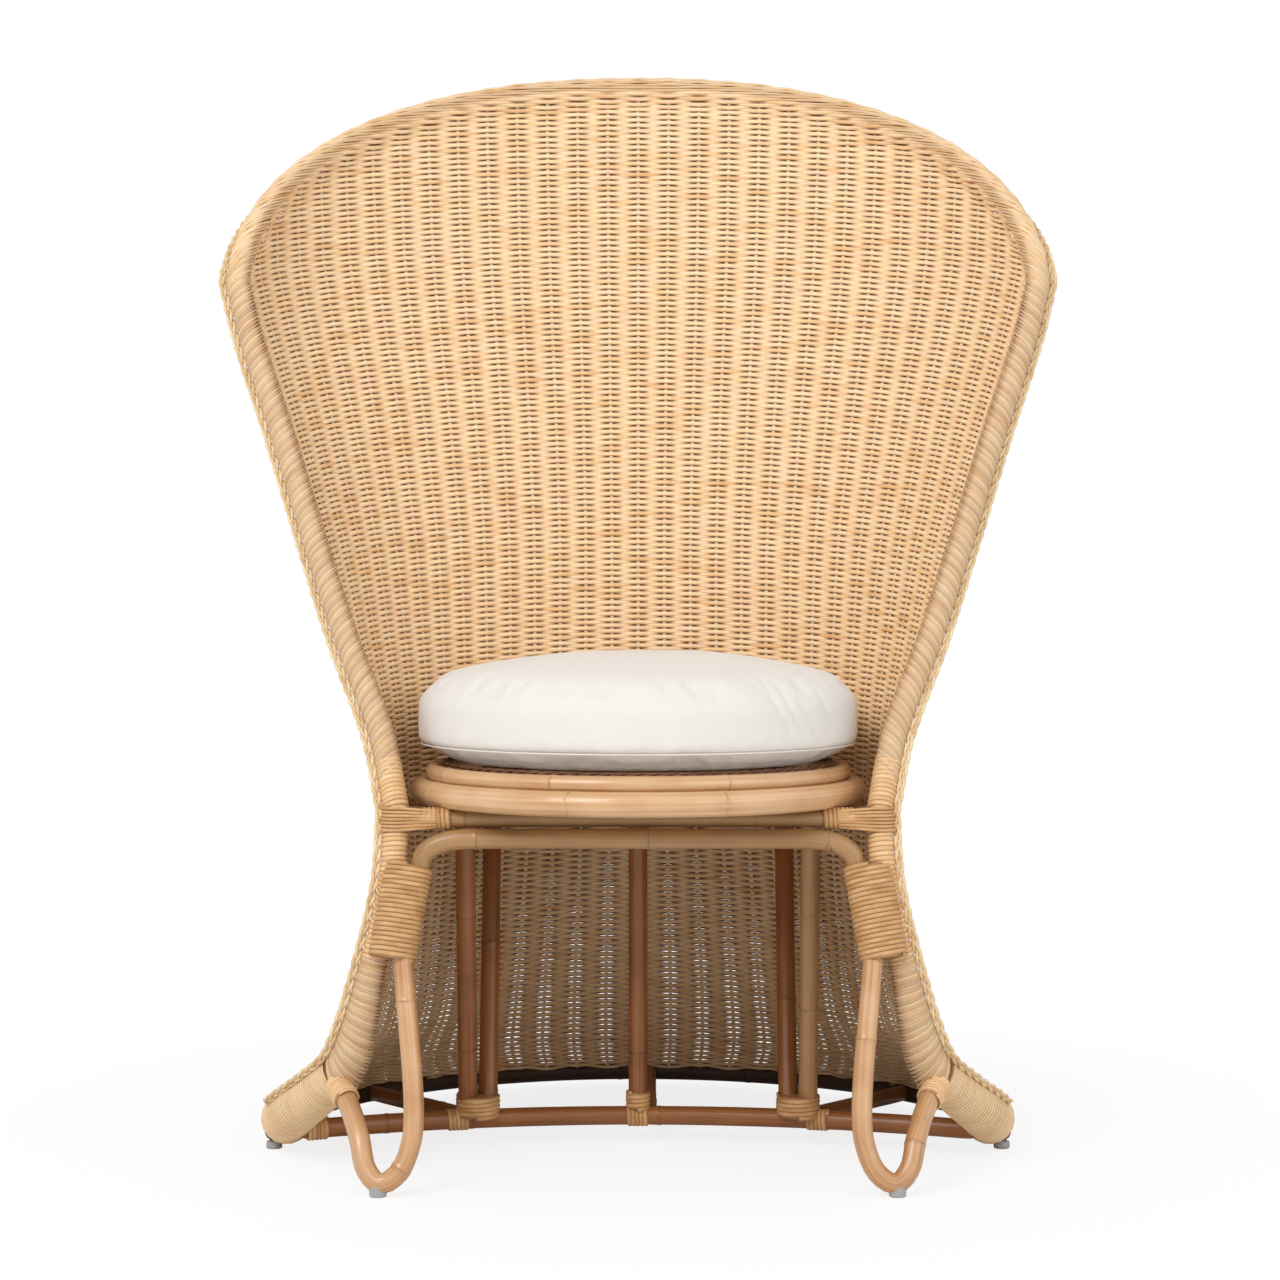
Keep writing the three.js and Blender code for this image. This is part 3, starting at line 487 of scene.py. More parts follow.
class SweptMesh:
    """Collects strands and poles swept along lines and makes one piece of them.

    Woven, wound and plaited strands follow the shell's own curves, which no edit
    operator can extrude along, so their rings are worked out here.
    """

    uv_stride: float = 17.0

    def __init__(self, name: str) -> None:
        """Starts an empty piece.

        Args:
            name: The piece's name.
        """
        self.name = name
        self.vertices: list[np.ndarray] = []
        self.corners: list[np.ndarray] = []
        self.sizes: list[np.ndarray] = []
        self.uvs: list[np.ndarray] = []
        self.rings: list[np.ndarray] = []
        self.count = 0
        self.number = 0

    def sweep(self, line: np.ndarray, radius: np.ndarray, up: np.ndarray, sides: int = 5,
              closed: bool = False, round_uv: bool = False,
              ring: Optional[np.ndarray] = None, hollow: Optional[np.ndarray] = None,
              under: float | np.ndarray = 0.0) -> None:
        """Adds a tube along a line.

        Args:
            line: Points of the centre line, in design millimetres.
            radius: Half thickness along up, or a pair of columns, along up and across it.
            up: One direction for each point, or one for all.
            sides: Number of faces round the tube.
            closed: Whether the line joins its own start.
            round_uv: Whether the UV also runs round the tube, in millimetres.
            ring: How strongly each point belongs to a cane node, or how much painted shade it gets
                all round, from 0 to 1.
            hollow: How far each point stands out along up; its other side, in the weave's hollow,
                gets painted shade.
            under: How much painted shade the side away from up gets, along the line or at each
                point.
        """
        line = np.asarray(line, float)
        n = len(line)
        if closed:
            tangent = unit(np.roll(line, -1, 0) - np.roll(line, 1, 0))
        else:
            tangent = unit(np.gradient(line, axis=0))
        up = np.broadcast_to(np.asarray(up, float), line.shape)
        first = unit(up - (up * tangent).sum(-1, keepdims=True) * tangent)
        second = np.cross(tangent, first)
        radius = np.asarray(radius, float)
        if radius.ndim < 2:
            radius = np.stack([np.broadcast_to(radius, (n,))] * 2, -1)
        angle = 2 * np.pi * np.arange(sides) / sides
        offset = (radius[:, None, :1] * np.cos(angle)[None, :, None] * first[:, None]
                  + radius[:, None, 1:] * np.sin(angle)[None, :, None] * second[:, None])
        self.vertices.append((line[:, None] + offset).reshape(-1, 3))
        spans = n if closed else n - 1
        i, k = np.meshgrid(np.arange(spans), np.arange(sides), indexing="ij")
        after_i, after_k = (i + 1) % n, (k + 1) % sides
        quads = np.stack([i * sides + k, i * sides + after_k,
                          after_i * sides + after_k, after_i * sides + k], -1)
        self.corners.append((quads + self.count).ravel())
        self.sizes.append(np.full(quads.shape[0] * quads.shape[1], 4))
        along = run_length(line)
        if closed:
            along = np.append(along, along[-1] + np.linalg.norm(line[0] - line[-1]))
        start = self.number * self.uv_stride
        turn = 2 * np.pi * radius.mean() / sides if round_uv else 0.0
        u = np.stack([k, k + 1, k + 1, k], -1) * turn + (start if round_uv else self.number)
        v = np.stack([along[i], along[i], along[i + 1], along[i + 1]], -1) + start
        self.uvs.append(np.stack([u, v], -1).reshape(-1, 2))
        if not closed:
            for cap in (np.arange(sides)[::-1], (n - 1) * sides + np.arange(sides)):
                self.corners.append(cap + self.count)
                self.sizes.append(np.array([sides]))
                self.uvs.append(np.tile([start if round_uv else self.number, start], (sides, 1)))
        # The dark attribute: cane node rings, plus painted shade in the hollows and on the side
        # away from up.
        marks = np.zeros((n, sides))
        if ring is not None:
            marks = marks + np.asarray(ring, float)[:, None]
        if hollow is not None:
            marks = marks + np.clip(-np.asarray(hollow, float)[:, None] * np.cos(angle), 0, 1)
        marks = marks + np.reshape(under, (-1, 1)) * (1 - np.cos(angle)) / 2
        self.rings.append(marks.ravel())
        self.count += n * sides
        self.number += 1

    def build(self, finish: Finish, *nodes: str, body: str = "chair") -> Object:
        """Makes the piece and puts it on its body.

        Args:
            finish: The piece's finish.
            nodes: The CAD nodes that it stands for.
            body: The CAD body that it rides on.

        Returns:
            The new object.
        """
        mesh = bpy.data.meshes.new(self.name)
        points = to_frame(np.concatenate(self.vertices)).astype(np.float32)
        corners = np.concatenate(self.corners).astype(np.int32)
        sizes = np.concatenate(self.sizes).astype(np.int32)
        mesh.vertices.add(len(points))
        mesh.vertices.foreach_set("co", points.ravel())
        mesh.loops.add(len(corners))
        mesh.loops.foreach_set("vertex_index", corners)
        mesh.polygons.add(len(sizes))
        mesh.polygons.foreach_set("loop_start", (np.cumsum(sizes) - sizes).astype(np.int32))
        mesh.polygons.foreach_set("use_smooth", (sizes == 4).astype(bool))
        layer = mesh.uv_layers.new(name="strand")
        layer.data.foreach_set("uv", np.concatenate(self.uvs).astype(np.float32).ravel())
        # dark holds the cane node rings and the painted shade worked out in sweep.
        marks = mesh.attributes.new("dark", "FLOAT", "POINT")
        marks.data.foreach_set("value", np.concatenate(self.rings).astype(np.float32))
        mesh.update(calc_edges=True)
        mesh.validate()
        piece = bpy.data.objects.new(self.name, mesh)
        bpy.context.scene.collection.objects.link(piece)
        return settle(piece, finish, *nodes, body=body)


def settle(piece: Object, finish: Finish, *nodes: str, body: str = "chair") -> Object:
    """Dresses a finished piece, seats it on its body and reports it.

    Args:
        piece: The object, with its place in its mesh.
        finish: Its finish.
        nodes: The CAD nodes that it stands for.
        body: The CAD body that it rides on.

    Returns:
        The same object.
    """
    piece.data.materials.clear()
    piece.data.materials.append(finish.build())
    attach(piece, body)
    if nodes:
        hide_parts(*nodes)
    triangles = sum(len(p.vertices) - 2 for p in piece.data.polygons)
    log.info("%s: %d triangles", piece.name, triangles)
    return piece


# The woven shell's surface

SKIRT_EDGE_SHARES = np.array([
    [0.08, 1, 1], [0.12, 0.944, 0.7], [0.16, 0.847, 0.48], [0.213, 0.681, 0.26],
    [0.296, 0.444, -0.015], [0.4, 0.306, -0.148], [0.579, 0.16, -0.185],
    [0.8, 0.028, -0.133], [1, 0, 0]])
FAN_EDGE_SHARES = np.array([
    [0, 0, 0], [0.14, 0.104, 0.2], [0.313, 0.316, 0.409], [0.487, 0.503, 0.6],
    [0.69, 0.705, 0.778], [0.894, 0.917, 0.933], [1, 1, 1]])
SKIRT_SPINE_SHARES = np.array([
    [0, 1], [0.16, 0.857], [0.32, 0.65], [0.533, 0.357], [0.8, 0.095], [1, 0]])
FAN_SPINE_SHARES = np.array([
    [0, 0], [0.127, 0.021], [0.259, 0.129], [0.392, 0.286], [0.543, 0.486],
    [0.694, 0.679], [0.875, 0.893], [1, 1]])


def table_value(table: np.ndarray, column: int, at: np.ndarray) -> np.ndarray:
    """Smooth curve through a table of shares.

    Args:
        table: Rows whose first column rises.
        column: The column to read.
        at: Values of the first column.

    Returns:
        The column's value at each of them.
    """
    x, y = table[:, 0], table[:, column]
    u = np.clip(at, x[0], x[-1])
    i = np.clip(np.searchsorted(x, u, side="left") - 1, 0, len(x) - 2)
    k = np.arange(len(x))
    low, high = np.maximum(k - 1, 0), np.minimum(k + 1, len(x) - 1)
    slope = (y[high] - y[low]) / (x[high] - x[low])
    width = x[i + 1] - x[i]
    h = (u - x[i]) / width
    return ((2 * h**3 - 3 * h**2 + 1) * y[i] + (h**3 - 2 * h**2 + h) * width * slope[i]
            + (3 * h**2 - 2 * h**3) * y[i + 1] + (h**3 - h**2) * width * slope[i + 1])


@dataclass
class Shell:
    """The waisted surface that back and skirt are woven on, in design millimetres."""

    height: float = 1204.0
    shoulder_height: float = 940.0
    waist_height: float = 375.0
    foot_height: float = 30.0
    straight_height: float = 700.0
    fan_half_width: float = 441.0
    waist_half_width: float = 248.0
    foot_half_width: float = 392.0
    shoulder_y: float = 85.0
    waist_edge_y: float = -140.0
    foot_edge_y: float = -5.0
    top_spine_y: float = 380.0
    waist_spine_y: float = 240.0
    foot_spine_y: float = 366.0
    row_drop: float = 75.0
    waist_wrap: float = 108.0
    open_wrap: float = 90.0
    rim_exponent: float = 2.2
    arc_steps: int = 48
    halvings: int = 30

    def edge(self, height: np.ndarray) -> tuple[np.ndarray, np.ndarray]:
        """Free edge at a height.

        Args:
            height: Heights above the floor.

        Returns:
            Its half width and its depth.
        """
        u = height / self.waist_height
        v = (height - self.waist_height) / (self.shoulder_height - self.waist_height)
        low = height <= self.waist_height
        width = self.waist_half_width + np.where(
            low, (self.foot_half_width - self.waist_half_width)
            * table_value(SKIRT_EDGE_SHARES, 1, u),
            (self.fan_half_width - self.waist_half_width) * table_value(FAN_EDGE_SHARES, 1, v))
        depth = self.waist_edge_y + np.where(
            low, (self.foot_edge_y - self.waist_edge_y) * table_value(SKIRT_EDGE_SHARES, 2, u),
            (self.shoulder_y - self.waist_edge_y) * table_value(FAN_EDGE_SHARES, 2, v))
        return width, depth

    def spine(self, height: np.ndarray) -> np.ndarray:
        """Middle line of the shell at a height.

        Args:
            height: Heights above the floor.

        Returns:
            Its depth.
        """
        u = height / self.waist_height
        v = (height - self.waist_height) / (self.height - self.waist_height)
        return self.waist_spine_y + np.where(
            height <= self.waist_height,
            (self.foot_spine_y - self.waist_spine_y) * table_value(SKIRT_SPINE_SHARES, 1, u),
            (self.top_spine_y - self.waist_spine_y) * table_value(FAN_SPINE_SHARES, 1, v))

    def point(self, level: np.ndarray, share: np.ndarray) -> np.ndarray:
        """Point at a level and a share of the arc from the spine to the right edge.

        Args:
            level: Height of the row at the spine.
            share: From -1 at the left edge to 1 at the right; beyond them the row runs on.

        Returns:
            Points, one for each pair.
        """
        level, share = np.broadcast_arrays(np.asarray(level, float), np.asarray(share, float))
        span = self.height - self.waist_height
        rise = np.clip((level - self.waist_height) / span, 0, 1)
        drop = self.row_drop * np.sin(rise * np.pi / 2)
        below = smooth_step(level, self.foot_height, self.waist_height)
        above = 1 - smooth_step(level, self.waist_height, self.straight_height)
        end = np.radians(self.open_wrap
                         + (self.waist_wrap - self.open_wrap) * np.minimum(below, above))
        edge_x, edge_y = self.edge(level - drop * (1 - np.cos(end)))
        spine = self.spine(level)
        depth = (spine - edge_y) / (1 - np.cos(end))
        width = edge_x / np.sin(end)
        steps = end[..., None] * np.arange(self.arc_steps + 1) / self.arc_steps
        lengths = np.sqrt((width[..., None] * np.diff(np.sin(steps)))**2
                          + (depth**2 + drop**2)[..., None] * np.diff(np.cos(steps))**2)
        sums = np.concatenate([np.zeros(level.shape + (1,)), np.cumsum(lengths, -1)], -1)
        reach = np.minimum(np.abs(share), 1) * sums[..., -1]
        i = np.clip((sums < reach[..., None]).sum(-1), 1, self.arc_steps)
        before = np.take_along_axis(sums, (i - 1)[..., None], -1)[..., 0]
        after = np.take_along_axis(sums, i[..., None], -1)[..., 0]
        steps_done = i - 1 + (reach - before) / (after - before)
        angle = np.sign(share) * end * steps_done / self.arc_steps
        place = np.stack([width * np.sin(angle), spine - depth * (1 - np.cos(angle)),
                          level - drop * (1 - np.cos(angle))], -1)
        beyond = np.maximum(np.abs(share) - 1, 0) * sums[..., -1]
        onward = unit(np.stack([width * np.cos(angle), -depth * np.sin(angle),
                                -drop * np.sin(angle)], -1)) * np.sign(share)[..., None]
        return place + beyond[..., None] * onward

    def directions(self, level: np.ndarray, share: np.ndarray) -> tuple[np.ndarray, np.ndarray]:
        """Outward direction, and the rise along the shell for each step of level.

        Args:
            level: Heights of rows at the spine.
            share: Shares of the arc.

        Returns:
            Unit outward vectors, and vectors up the shell across the row.
        """
        step = 1e-3
        inner = np.clip(share, -1 + step, 1 - step)
        across = unit(self.point(level, inner + step) - self.point(level, inner - step))
        up = self.point(level + 1, inner) - self.point(level - 1, inner)
        up = (up - (up * across).sum(-1, keepdims=True) * across) / 2
        return unit(np.cross(up, across)), up

    def rim_level(self, share: np.ndarray) -> np.ndarray:
        """Level at which a share of the arc meets the rim, a flattened ellipse from the front.

        Args:
            share: Shares of the arc.

        Returns:
            The level for each.
        """
        low = np.full(np.shape(share), self.waist_height)
        high = np.full(np.shape(share), self.height)
        for _ in range(self.halvings):
            middle = (low + high) / 2
            place = self.point(middle, share)
            across = np.abs(place[..., 0]) / self.fan_half_width
            rise = (np.maximum(place[..., 2] - self.shoulder_height, 0)
                    / (self.height - self.shoulder_height))
            inside = across**self.rim_exponent + rise**self.rim_exponent < 1
            low, high = np.where(inside, middle, low), np.where(inside, high, middle)
        return (low + high) / 2


@dataclass
class EdgeLine:
    """The line of the edge poles and the rim, left foot to right foot, and the roll over it."""

    shell: Shell
    spacing: float = 3.0
    edge_roll: float = 12.3
    rim_roll: float = 11.4
    foot_swell: float = 9.0
    reach: float = 28.0
    slope_length: float = 27.5
    touch_angle: float = math.radians(75)
    rim_heights: Pair = (900.0, 1000.0)
    swell_heights: Pair = (95.0, 240.0)
    swell_inward: float = 0.5
    swell_reach: float = 2.2
    level_count: int = 500
    share_count: int = 701
    points: np.ndarray = field(init=False)
    along: np.ndarray = field(init=False)
    inward: np.ndarray = field(init=False)
    outward: np.ndarray = field(init=False)

    def __post_init__(self) -> None:
        """Works the line out, evenly spaced, with its directions."""
        shell = self.shell
        shoulder = float(shell.rim_level(np.array(1.0)))
        levels = np.linspace(shell.foot_height, shoulder, self.level_count)
        shares = np.linspace(-1, 1, self.share_count)
        rim = shell.rim_level(shares)
        level = np.concatenate([levels[:-1], rim, levels[::-1][1:]])
        share = np.concatenate([-np.ones(len(levels) - 1), shares, np.ones(len(levels) - 1)])
        line = shell.point(level, share)
        length = run_length(line)
        even = np.arange(0, length[-1], self.spacing)
        level = np.interp(even, length, level)
        share = np.interp(even, length, share)
        self.points = shell.point(level, share)
        self.along = unit(np.gradient(self.points, axis=0))
        outward, _ = shell.directions(level, share)
        self.inward = unit(np.cross(outward, self.along))
        self.outward = unit(np.cross(self.along, self.inward))

    def at(self, index: np.ndarray) -> tuple[np.ndarray, ...]:
        """Reads the line between its points.

        Args:
            index: Fractional indices of the line.

        Returns:
            Place, run, inward and outward directions at each.
        """
        steps = np.arange(len(self.points))
        index = np.clip(index, 0, len(steps) - 1)
        found = []
        for table in (self.points, self.along, self.inward, self.outward):
            found.append(read_line(index, steps, table))
        return found[0], unit(found[1]), unit(found[2]), unit(found[3])

    def nearest(self, places: np.ndarray) -> tuple[np.ndarray, np.ndarray]:
        """Distance inside the line and fractional index of the nearest place on it.

        Args:
            places: Points on the shell, or beyond its edge.

        Returns:
            Distances, less than 0 beyond the line, and indices.
        """
        gaps = ((places[:, None] - self.points[None])**2).sum(-1)
        index = gaps.argmin(1)
        away = places - self.points[index]
        index = index + (away * self.along[index]).sum(-1) / self.spacing
        place, _, inward, _ = self.at(index)
        return ((places - place) * inward).sum(-1), index

    def rim_share(self, place: np.ndarray) -> np.ndarray:
        """0 on the edge poles and 1 on the rim, softly between."""
        return smooth_step(place[..., 2], *self.rim_heights)

    def swell_at(self, height: np.ndarray) -> np.ndarray:
        """How much thicker the wound edge is than the pole, towards the foot."""
        return self.foot_swell * (1 - smooth_step(height, *self.swell_heights))

    def core(self, places: np.ndarray, swell: np.ndarray) -> np.ndarray:
        """The swollen edge's middle, which lies towards the chair's inside.

        Args:
            places: Points of the edge pole's line.
            swell: How much thicker the edge is at each.

        Returns:
            The middle at each.
        """
        _, index = self.nearest(places)
        _, _, inward, away = self.at(index)
        return places + swell[:, None] * (self.swell_inward * inward - away)

    def roll(self, places: np.ndarray, outward: np.ndarray,
             ) -> tuple[np.ndarray, np.ndarray, np.ndarray, np.ndarray]:
        """Turns the shell over the edge pole or the rim pole.

        Args:
            places: Points on the flat shell and beyond its edge.
            outward: The shell's outward direction at each.

        Returns:
            Rolled points, their outward directions, how far each is on the pole from 0
            to 1, and the angle turned round the pole.
        """
        inside, index = self.nearest(places)
        place, _, inward, away = self.at(index)
        share = self.rim_share(place)
        swell = self.swell_at(place[:, 2])
        radius = self.edge_roll + (self.rim_roll - self.edge_roll) * share + swell
        cosine, sine = math.cos(self.touch_angle), math.sin(self.touch_angle)
        touch = radius[:, None] * np.array([cosine, sine])
        touch += swell[:, None] * np.array([self.swell_inward, 1.0])
        reach = self.reach + self.swell_reach * swell
        length = self.slope_length + self.swell_reach * swell
        h = np.clip((reach - inside) / length, 0, 1)
        ease = (2 * h**3 - 3 * h**2 + 1, h**3 - 2 * h**2 + h, 3 * h**2 - 2 * h**3, h**3 - h**2)
        turn = (6 * h**2 - 6 * h, 3 * h**2 - 4 * h + 1, 6 * h - 6 * h**2, 3 * h**2 - 2 * h)
        starts = ((reach, -length, touch[:, 0], -sine * length),
                  (0.0, 0.0, touch[:, 1], cosine * length))
        u, w = (sum(e * s for e, s in zip(ease, start)) for start in starts)
        du, dw = (sum(e * s for e, s in zip(turn, start)) for start in starts)
        angle = self.touch_angle + np.maximum(reach - inside - length, 0) / radius
        on_pole = inside < reach - length
        u = np.where(on_pole, radius * np.cos(angle) + self.swell_inward * swell, u)
        w = np.where(on_pole, radius * np.sin(angle) + swell, w)
        du = np.where(on_pole, -np.sin(angle), du)
        dw = np.where(on_pole, np.cos(angle), dw)
        span = np.maximum(np.hypot(du, dw), 1e-9)
        normal = (-dw / span)[:, None] * inward - (du / span)[:, None] * away
        rest = places - place - inside[:, None] * inward
        keep = np.clip(inside / reach, 0, 1)[:, None]
        rolled = place + u[:, None] * inward - w[:, None] * away + rest * keep
        flat = (inside >= reach)[:, None]
        return (np.where(flat, places, rolled), np.where(flat, outward, unit(normal)),
                h, np.where(on_pole, angle, 0.0))


# The woven shell


@dataclass
class WovenShell:
    """Back and skirt in one weave: upright stakes, and rows over and under them."""

    line: EdgeLine
    pitch: float = 3.35
    strand_radius: float = 1.5
    stake_radii: Pair = (1.5, 2.4)
    amplitude: float = 2.25
    rim_amplitude: float = 1.0
    skirt_fill: float = 0.74
    fan_fill: float = 0.84
    band_level: float = 60.0
    band_pitch: float = 2.7
    # Painted shade on the skirt's inner side, and between the strands on the edge roll.
    skirt_shade: float = 0.22
    roll_shade: float = 0.42
    roll_shade_step: float = 0.618
    stiffness: float = 0.8
    foot_over: float = 22.0
    spans: int = 16
    body_steps: int = 5
    roll_step: float = 2.6
    first_level: float = 25.0
    wound_levels: Triple = (92.0, 228.0, 432.0)
    skirt_level: float = 375.0
    roll_over: float = 60.0
    stake_end: float = 12.0
    sag: float = 11.0
    row_length: float = 620.0
    sag_reach: Pair = (42.0, 14.0)
    sag_starts: Pair = (425.0, 540.0)
    sag_ends: Pair = (930.0, 1000.0)
    past_edge: float = 1.16
    trial_points: int = 594
    flat_end: float = 5.0
    close_skirt: float = 52.0
    close_fan: float = 31.0
    unevenness: float = 0.16
    width_limits: Pair = (2.4, 6.5)
    fill_change: float = 30.0
    shade_change: Pair = (330.0, 400.0)
    # Painted shade in the hollows, where a strand passes behind its neighbours.
    crevice_shade_gain: float = 1.5
    late_from: float = 0.45
    flank_from: float = 0.85
    flank_turns: Pair = (1.9, 2.7)
    # Painted shade on the flank of the edge roll, varied strand by strand, and less of it towards
    # the rim.
    flank_shade: float = 0.25
    flank_thinning: float = 0.4
    roll_shade_range: Pair = (0.55, 0.9)
    rim_light: float = 0.75
    fewest_points: int = 12
    drift_points: int = 24
    thickness_range: Pair = (0.95, 1.05)
    stake_step: float = 4.0
    rows_in_piece: int = 66
    seed: int = 7

    def row_places(self, level: float, share: np.ndarray) -> tuple[np.ndarray, np.ndarray]:
        """Levels and points of a row, which sags towards the edge poles.

        Args:
            level: The row's height at the spine.
            share: Shares of the arc.

        Returns:
            Levels after the sag, and places on the flat shell.
        """
        before, after = np.array(self.sag_reach) / self.row_length
        near = smooth_step(np.abs(share), 1 - before, 1 + after)
        amount = (self.sag * smooth_step(level, *self.sag_starts)
                  * (1 - smooth_step(level, *self.sag_ends)))
        levels = level - amount * near
        return levels, self.line.shell.point(levels, share)

    def row(self, mesh: SweptMesh, number: int, level: float, pitch: float,
            rng: np.random.Generator) -> None:
        """Weaves one row into a piece.

        Args:
            mesh: The piece.
            number: The row's number, which sets the side it starts on.
            level: Its height at the spine.
            pitch: Its distance from the next row.
            rng: Source of the small unevenness of hand weaving.
        """
        foot, low, high = self.wound_levels
        rolled = foot <= level < low or level >= high
        share = np.linspace(-self.past_edge, self.past_edge, self.trial_points)
        levels, places = self.row_places(level, share)
        inside, _ = self.line.nearest(places)
        over = self.roll_over + (self.foot_over if level < low else 0.0)
        kept = inside > (-over if rolled else self.flat_end)
        if kept.sum() < self.fewest_points:
            return
        first, last = np.flatnonzero(kept)[[0, -1]]
        share, inside = share[first:last + 1], inside[first:last + 1]
        step = np.linalg.norm(np.diff(places[first:last + 1], axis=0), axis=1)
        close = (inside[:-1] < (self.close_skirt if level < low else self.close_fan)) & rolled
        density = np.where(close, step / self.roll_step,
                           np.diff(share) * self.spans * self.body_steps)
        total = np.concatenate([[0], np.cumsum(density)])
        share = np.interp(np.linspace(0, total[-1], int(total[-1]) + 2), total, share)
        levels, places = self.row_places(level, share)
        outward, up = self.line.shell.directions(levels, share)
        height = np.linalg.norm(up, axis=-1) * pitch
        wave = np.cos(math.pi * (self.spans * share + number))
        wave = wave * np.abs(wave)**self.stiffness
        if rolled:
            places, outward, near, turned = self.line.roll(places, outward)
            rim = self.line.rim_share(places)
            late = smooth_step(near, self.late_from, 1.0)
            amplitude = self.amplitude + (self.rim_amplitude * rim - self.amplitude) * late
        else:
            amplitude = np.full(len(share), self.amplitude)
        drift = np.interp(share, np.linspace(-1.2, 1.2, self.drift_points),
                          rng.normal(0, self.unevenness, self.drift_points))
        run = unit(np.gradient(places, axis=0))
        across = np.cross(outward, run)
        places = places + outward * (amplitude * wave)[:, None] + across * drift[:, None]
        fan = smooth_step(levels, self.skirt_level - self.fill_change,
                          self.skirt_level + self.fill_change)
        fill = self.skirt_fill + (self.fan_fill - self.skirt_fill) * fan
        half = np.clip(height, *self.width_limits) * fill
        thick = np.full(len(share), self.strand_radius) * rng.uniform(*self.thickness_range)
        # Painted shade on the strand's side facing in, where it passes behind its neighbours.
        hollow = np.minimum(1, self.crevice_shade_gain * wave * amplitude / self.amplitude)
        # Painted shade on the skirt's inner side, under the seat, fading out up the back.
        under = self.skirt_shade * (1 - smooth_step(levels, *self.shade_change))
        if rolled:
            # On the edge roll: painted shade on the flank, and on each strand's side away from up.
            flank = (smooth_step(near, self.flank_from, 1.0)
                     * (1 - smooth_step(turned, *self.flank_turns)))
            hollow = hollow * (1 - late) + self.flank_shade * flank
            half = half * (1 - self.flank_thinning * flank)
            # tone sets each strand's share of the roll's painted shade, with less of it towards the
            # rim.
            start, span = self.roll_shade_range
            tone = (start + span * (number * self.roll_shade_step % 1)) * (1 - self.rim_light * rim)
            under = under * (1 - near) + self.roll_shade * tone * near
        mesh.sweep(places, np.stack([thick, half], -1), outward, hollow=hollow, under=under)

    def stake(self, mesh: SweptMesh, number: int, low: float, high: float) -> None:
        """Sets one stake into a piece.

        Args:
            mesh: The piece.
            number: From -15 at the left to 15 at the right.
            low: The level that it starts at.
            high: The level that it ends at, unless the rim comes first.
        """
        share = number / self.spans
        levels = np.arange(low, high + 60, self.stake_step)
        places = self.line.shell.point(levels, share)
        inside, _ = self.line.nearest(places)
        kept = (inside > self.stake_end) & (levels <= high)
        levels, places = levels[kept], places[kept]
        outward, _ = self.line.shell.directions(levels, np.full(len(levels), share))
        if high > self.line.shell.height:
            places, outward, _, _ = self.line.roll(places, outward)
        mesh.sweep(places, np.array([self.stake_radii] * len(places)), outward, 6)

    def build(self) -> None:
        """Weaves the skirt and the back, from the floor up."""
        rng = np.random.default_rng(self.seed)
        top = self.line.shell.height
        levels = np.concatenate([
            np.arange(self.first_level, self.band_level, self.band_pitch),
            np.arange(self.band_level, top + self.roll_over, self.pitch)])
        waist = int(np.searchsorted(levels, self.skirt_level))
        cuts = [0, waist // 2, waist] + list(range(waist + self.rows_in_piece, len(levels),
                                                   self.rows_in_piece)) + [len(levels)]
        for piece, (start, end) in enumerate(zip(cuts[:-1], cuts[1:])):
            skirt = piece < 2
            name = f"woven_skirt_rows_{piece + 1}" if skirt else f"woven_back_rows_{piece - 1}"
            mesh = SweptMesh(name)
            mesh.number = start
            for number in range(start, end):
                pitch = self.pitch if levels[number] >= self.band_level else self.band_pitch
                self.row(mesh, number, levels[number], pitch, rng)
            mesh.build(WEAVE_CORE, "woven_skirt" if skirt else "woven_back")
        for name, node, low, high in (
                ("skirt_stakes", "woven_skirt", self.first_level - 2, self.skirt_level),
                ("back_stakes", "woven_back", self.skirt_level, top + self.roll_over)):
            mesh = SweptMesh(name)
            for number in range(1 - self.spans, self.spans):
                self.stake(mesh, number, low, high)
            mesh.build(STAKE_CORE, node)


# Poles


def even_line(points: np.ndarray, spacing: float) -> np.ndarray:
    """A line resampled to an even spacing, both ends kept.

    Args:
        points: The line's points.
        spacing: The distance wanted between two points.

    Returns:
        The new points.
    """
    points = np.asarray(points, float)
    length = run_length(points)
    at = np.linspace(0, length[-1], max(2, int(round(length[-1] / spacing)) + 1))
    return read_line(at, length, points)


def bent_line(corners: np.ndarray, steps: int = 16) -> np.ndarray:
    """A centripetal curve through a few points.

    Args:
        corners: The points that the curve passes.
        steps: How many pieces each span gets.

    Returns:
        The curve's points.
    """
    p = np.asarray(corners, float)
    p = np.concatenate([[2 * p[0] - p[1]], p, [2 * p[-1] - p[-2]]])
    t = np.concatenate([[0], np.cumsum(np.sqrt(np.linalg.norm(np.diff(p, axis=0), axis=1)))])
    out = []
    for i in range(1, len(p) - 2):
        u = np.linspace(t[i], t[i + 1], steps, endpoint=False)[:, None]
        a = [(t[k + 1] - u) / (t[k + 1] - t[k]) * p[k] + (u - t[k]) / (t[k + 1] - t[k]) * p[k + 1]
             for k in (i - 1, i, i + 1)]
        b = [(t[k + 2] - u) / (t[k + 2] - t[k]) * a[n] + (u - t[k]) / (t[k + 2] - t[k]) * a[n + 1]
             for n, k in enumerate((i - 1, i))]
        span = t[i + 1] - t[i]
        out.append((t[i + 1] - u) / span * b[0] + (u - t[i]) / span * b[1])
    return np.concatenate(out + [p[-2:-1]])


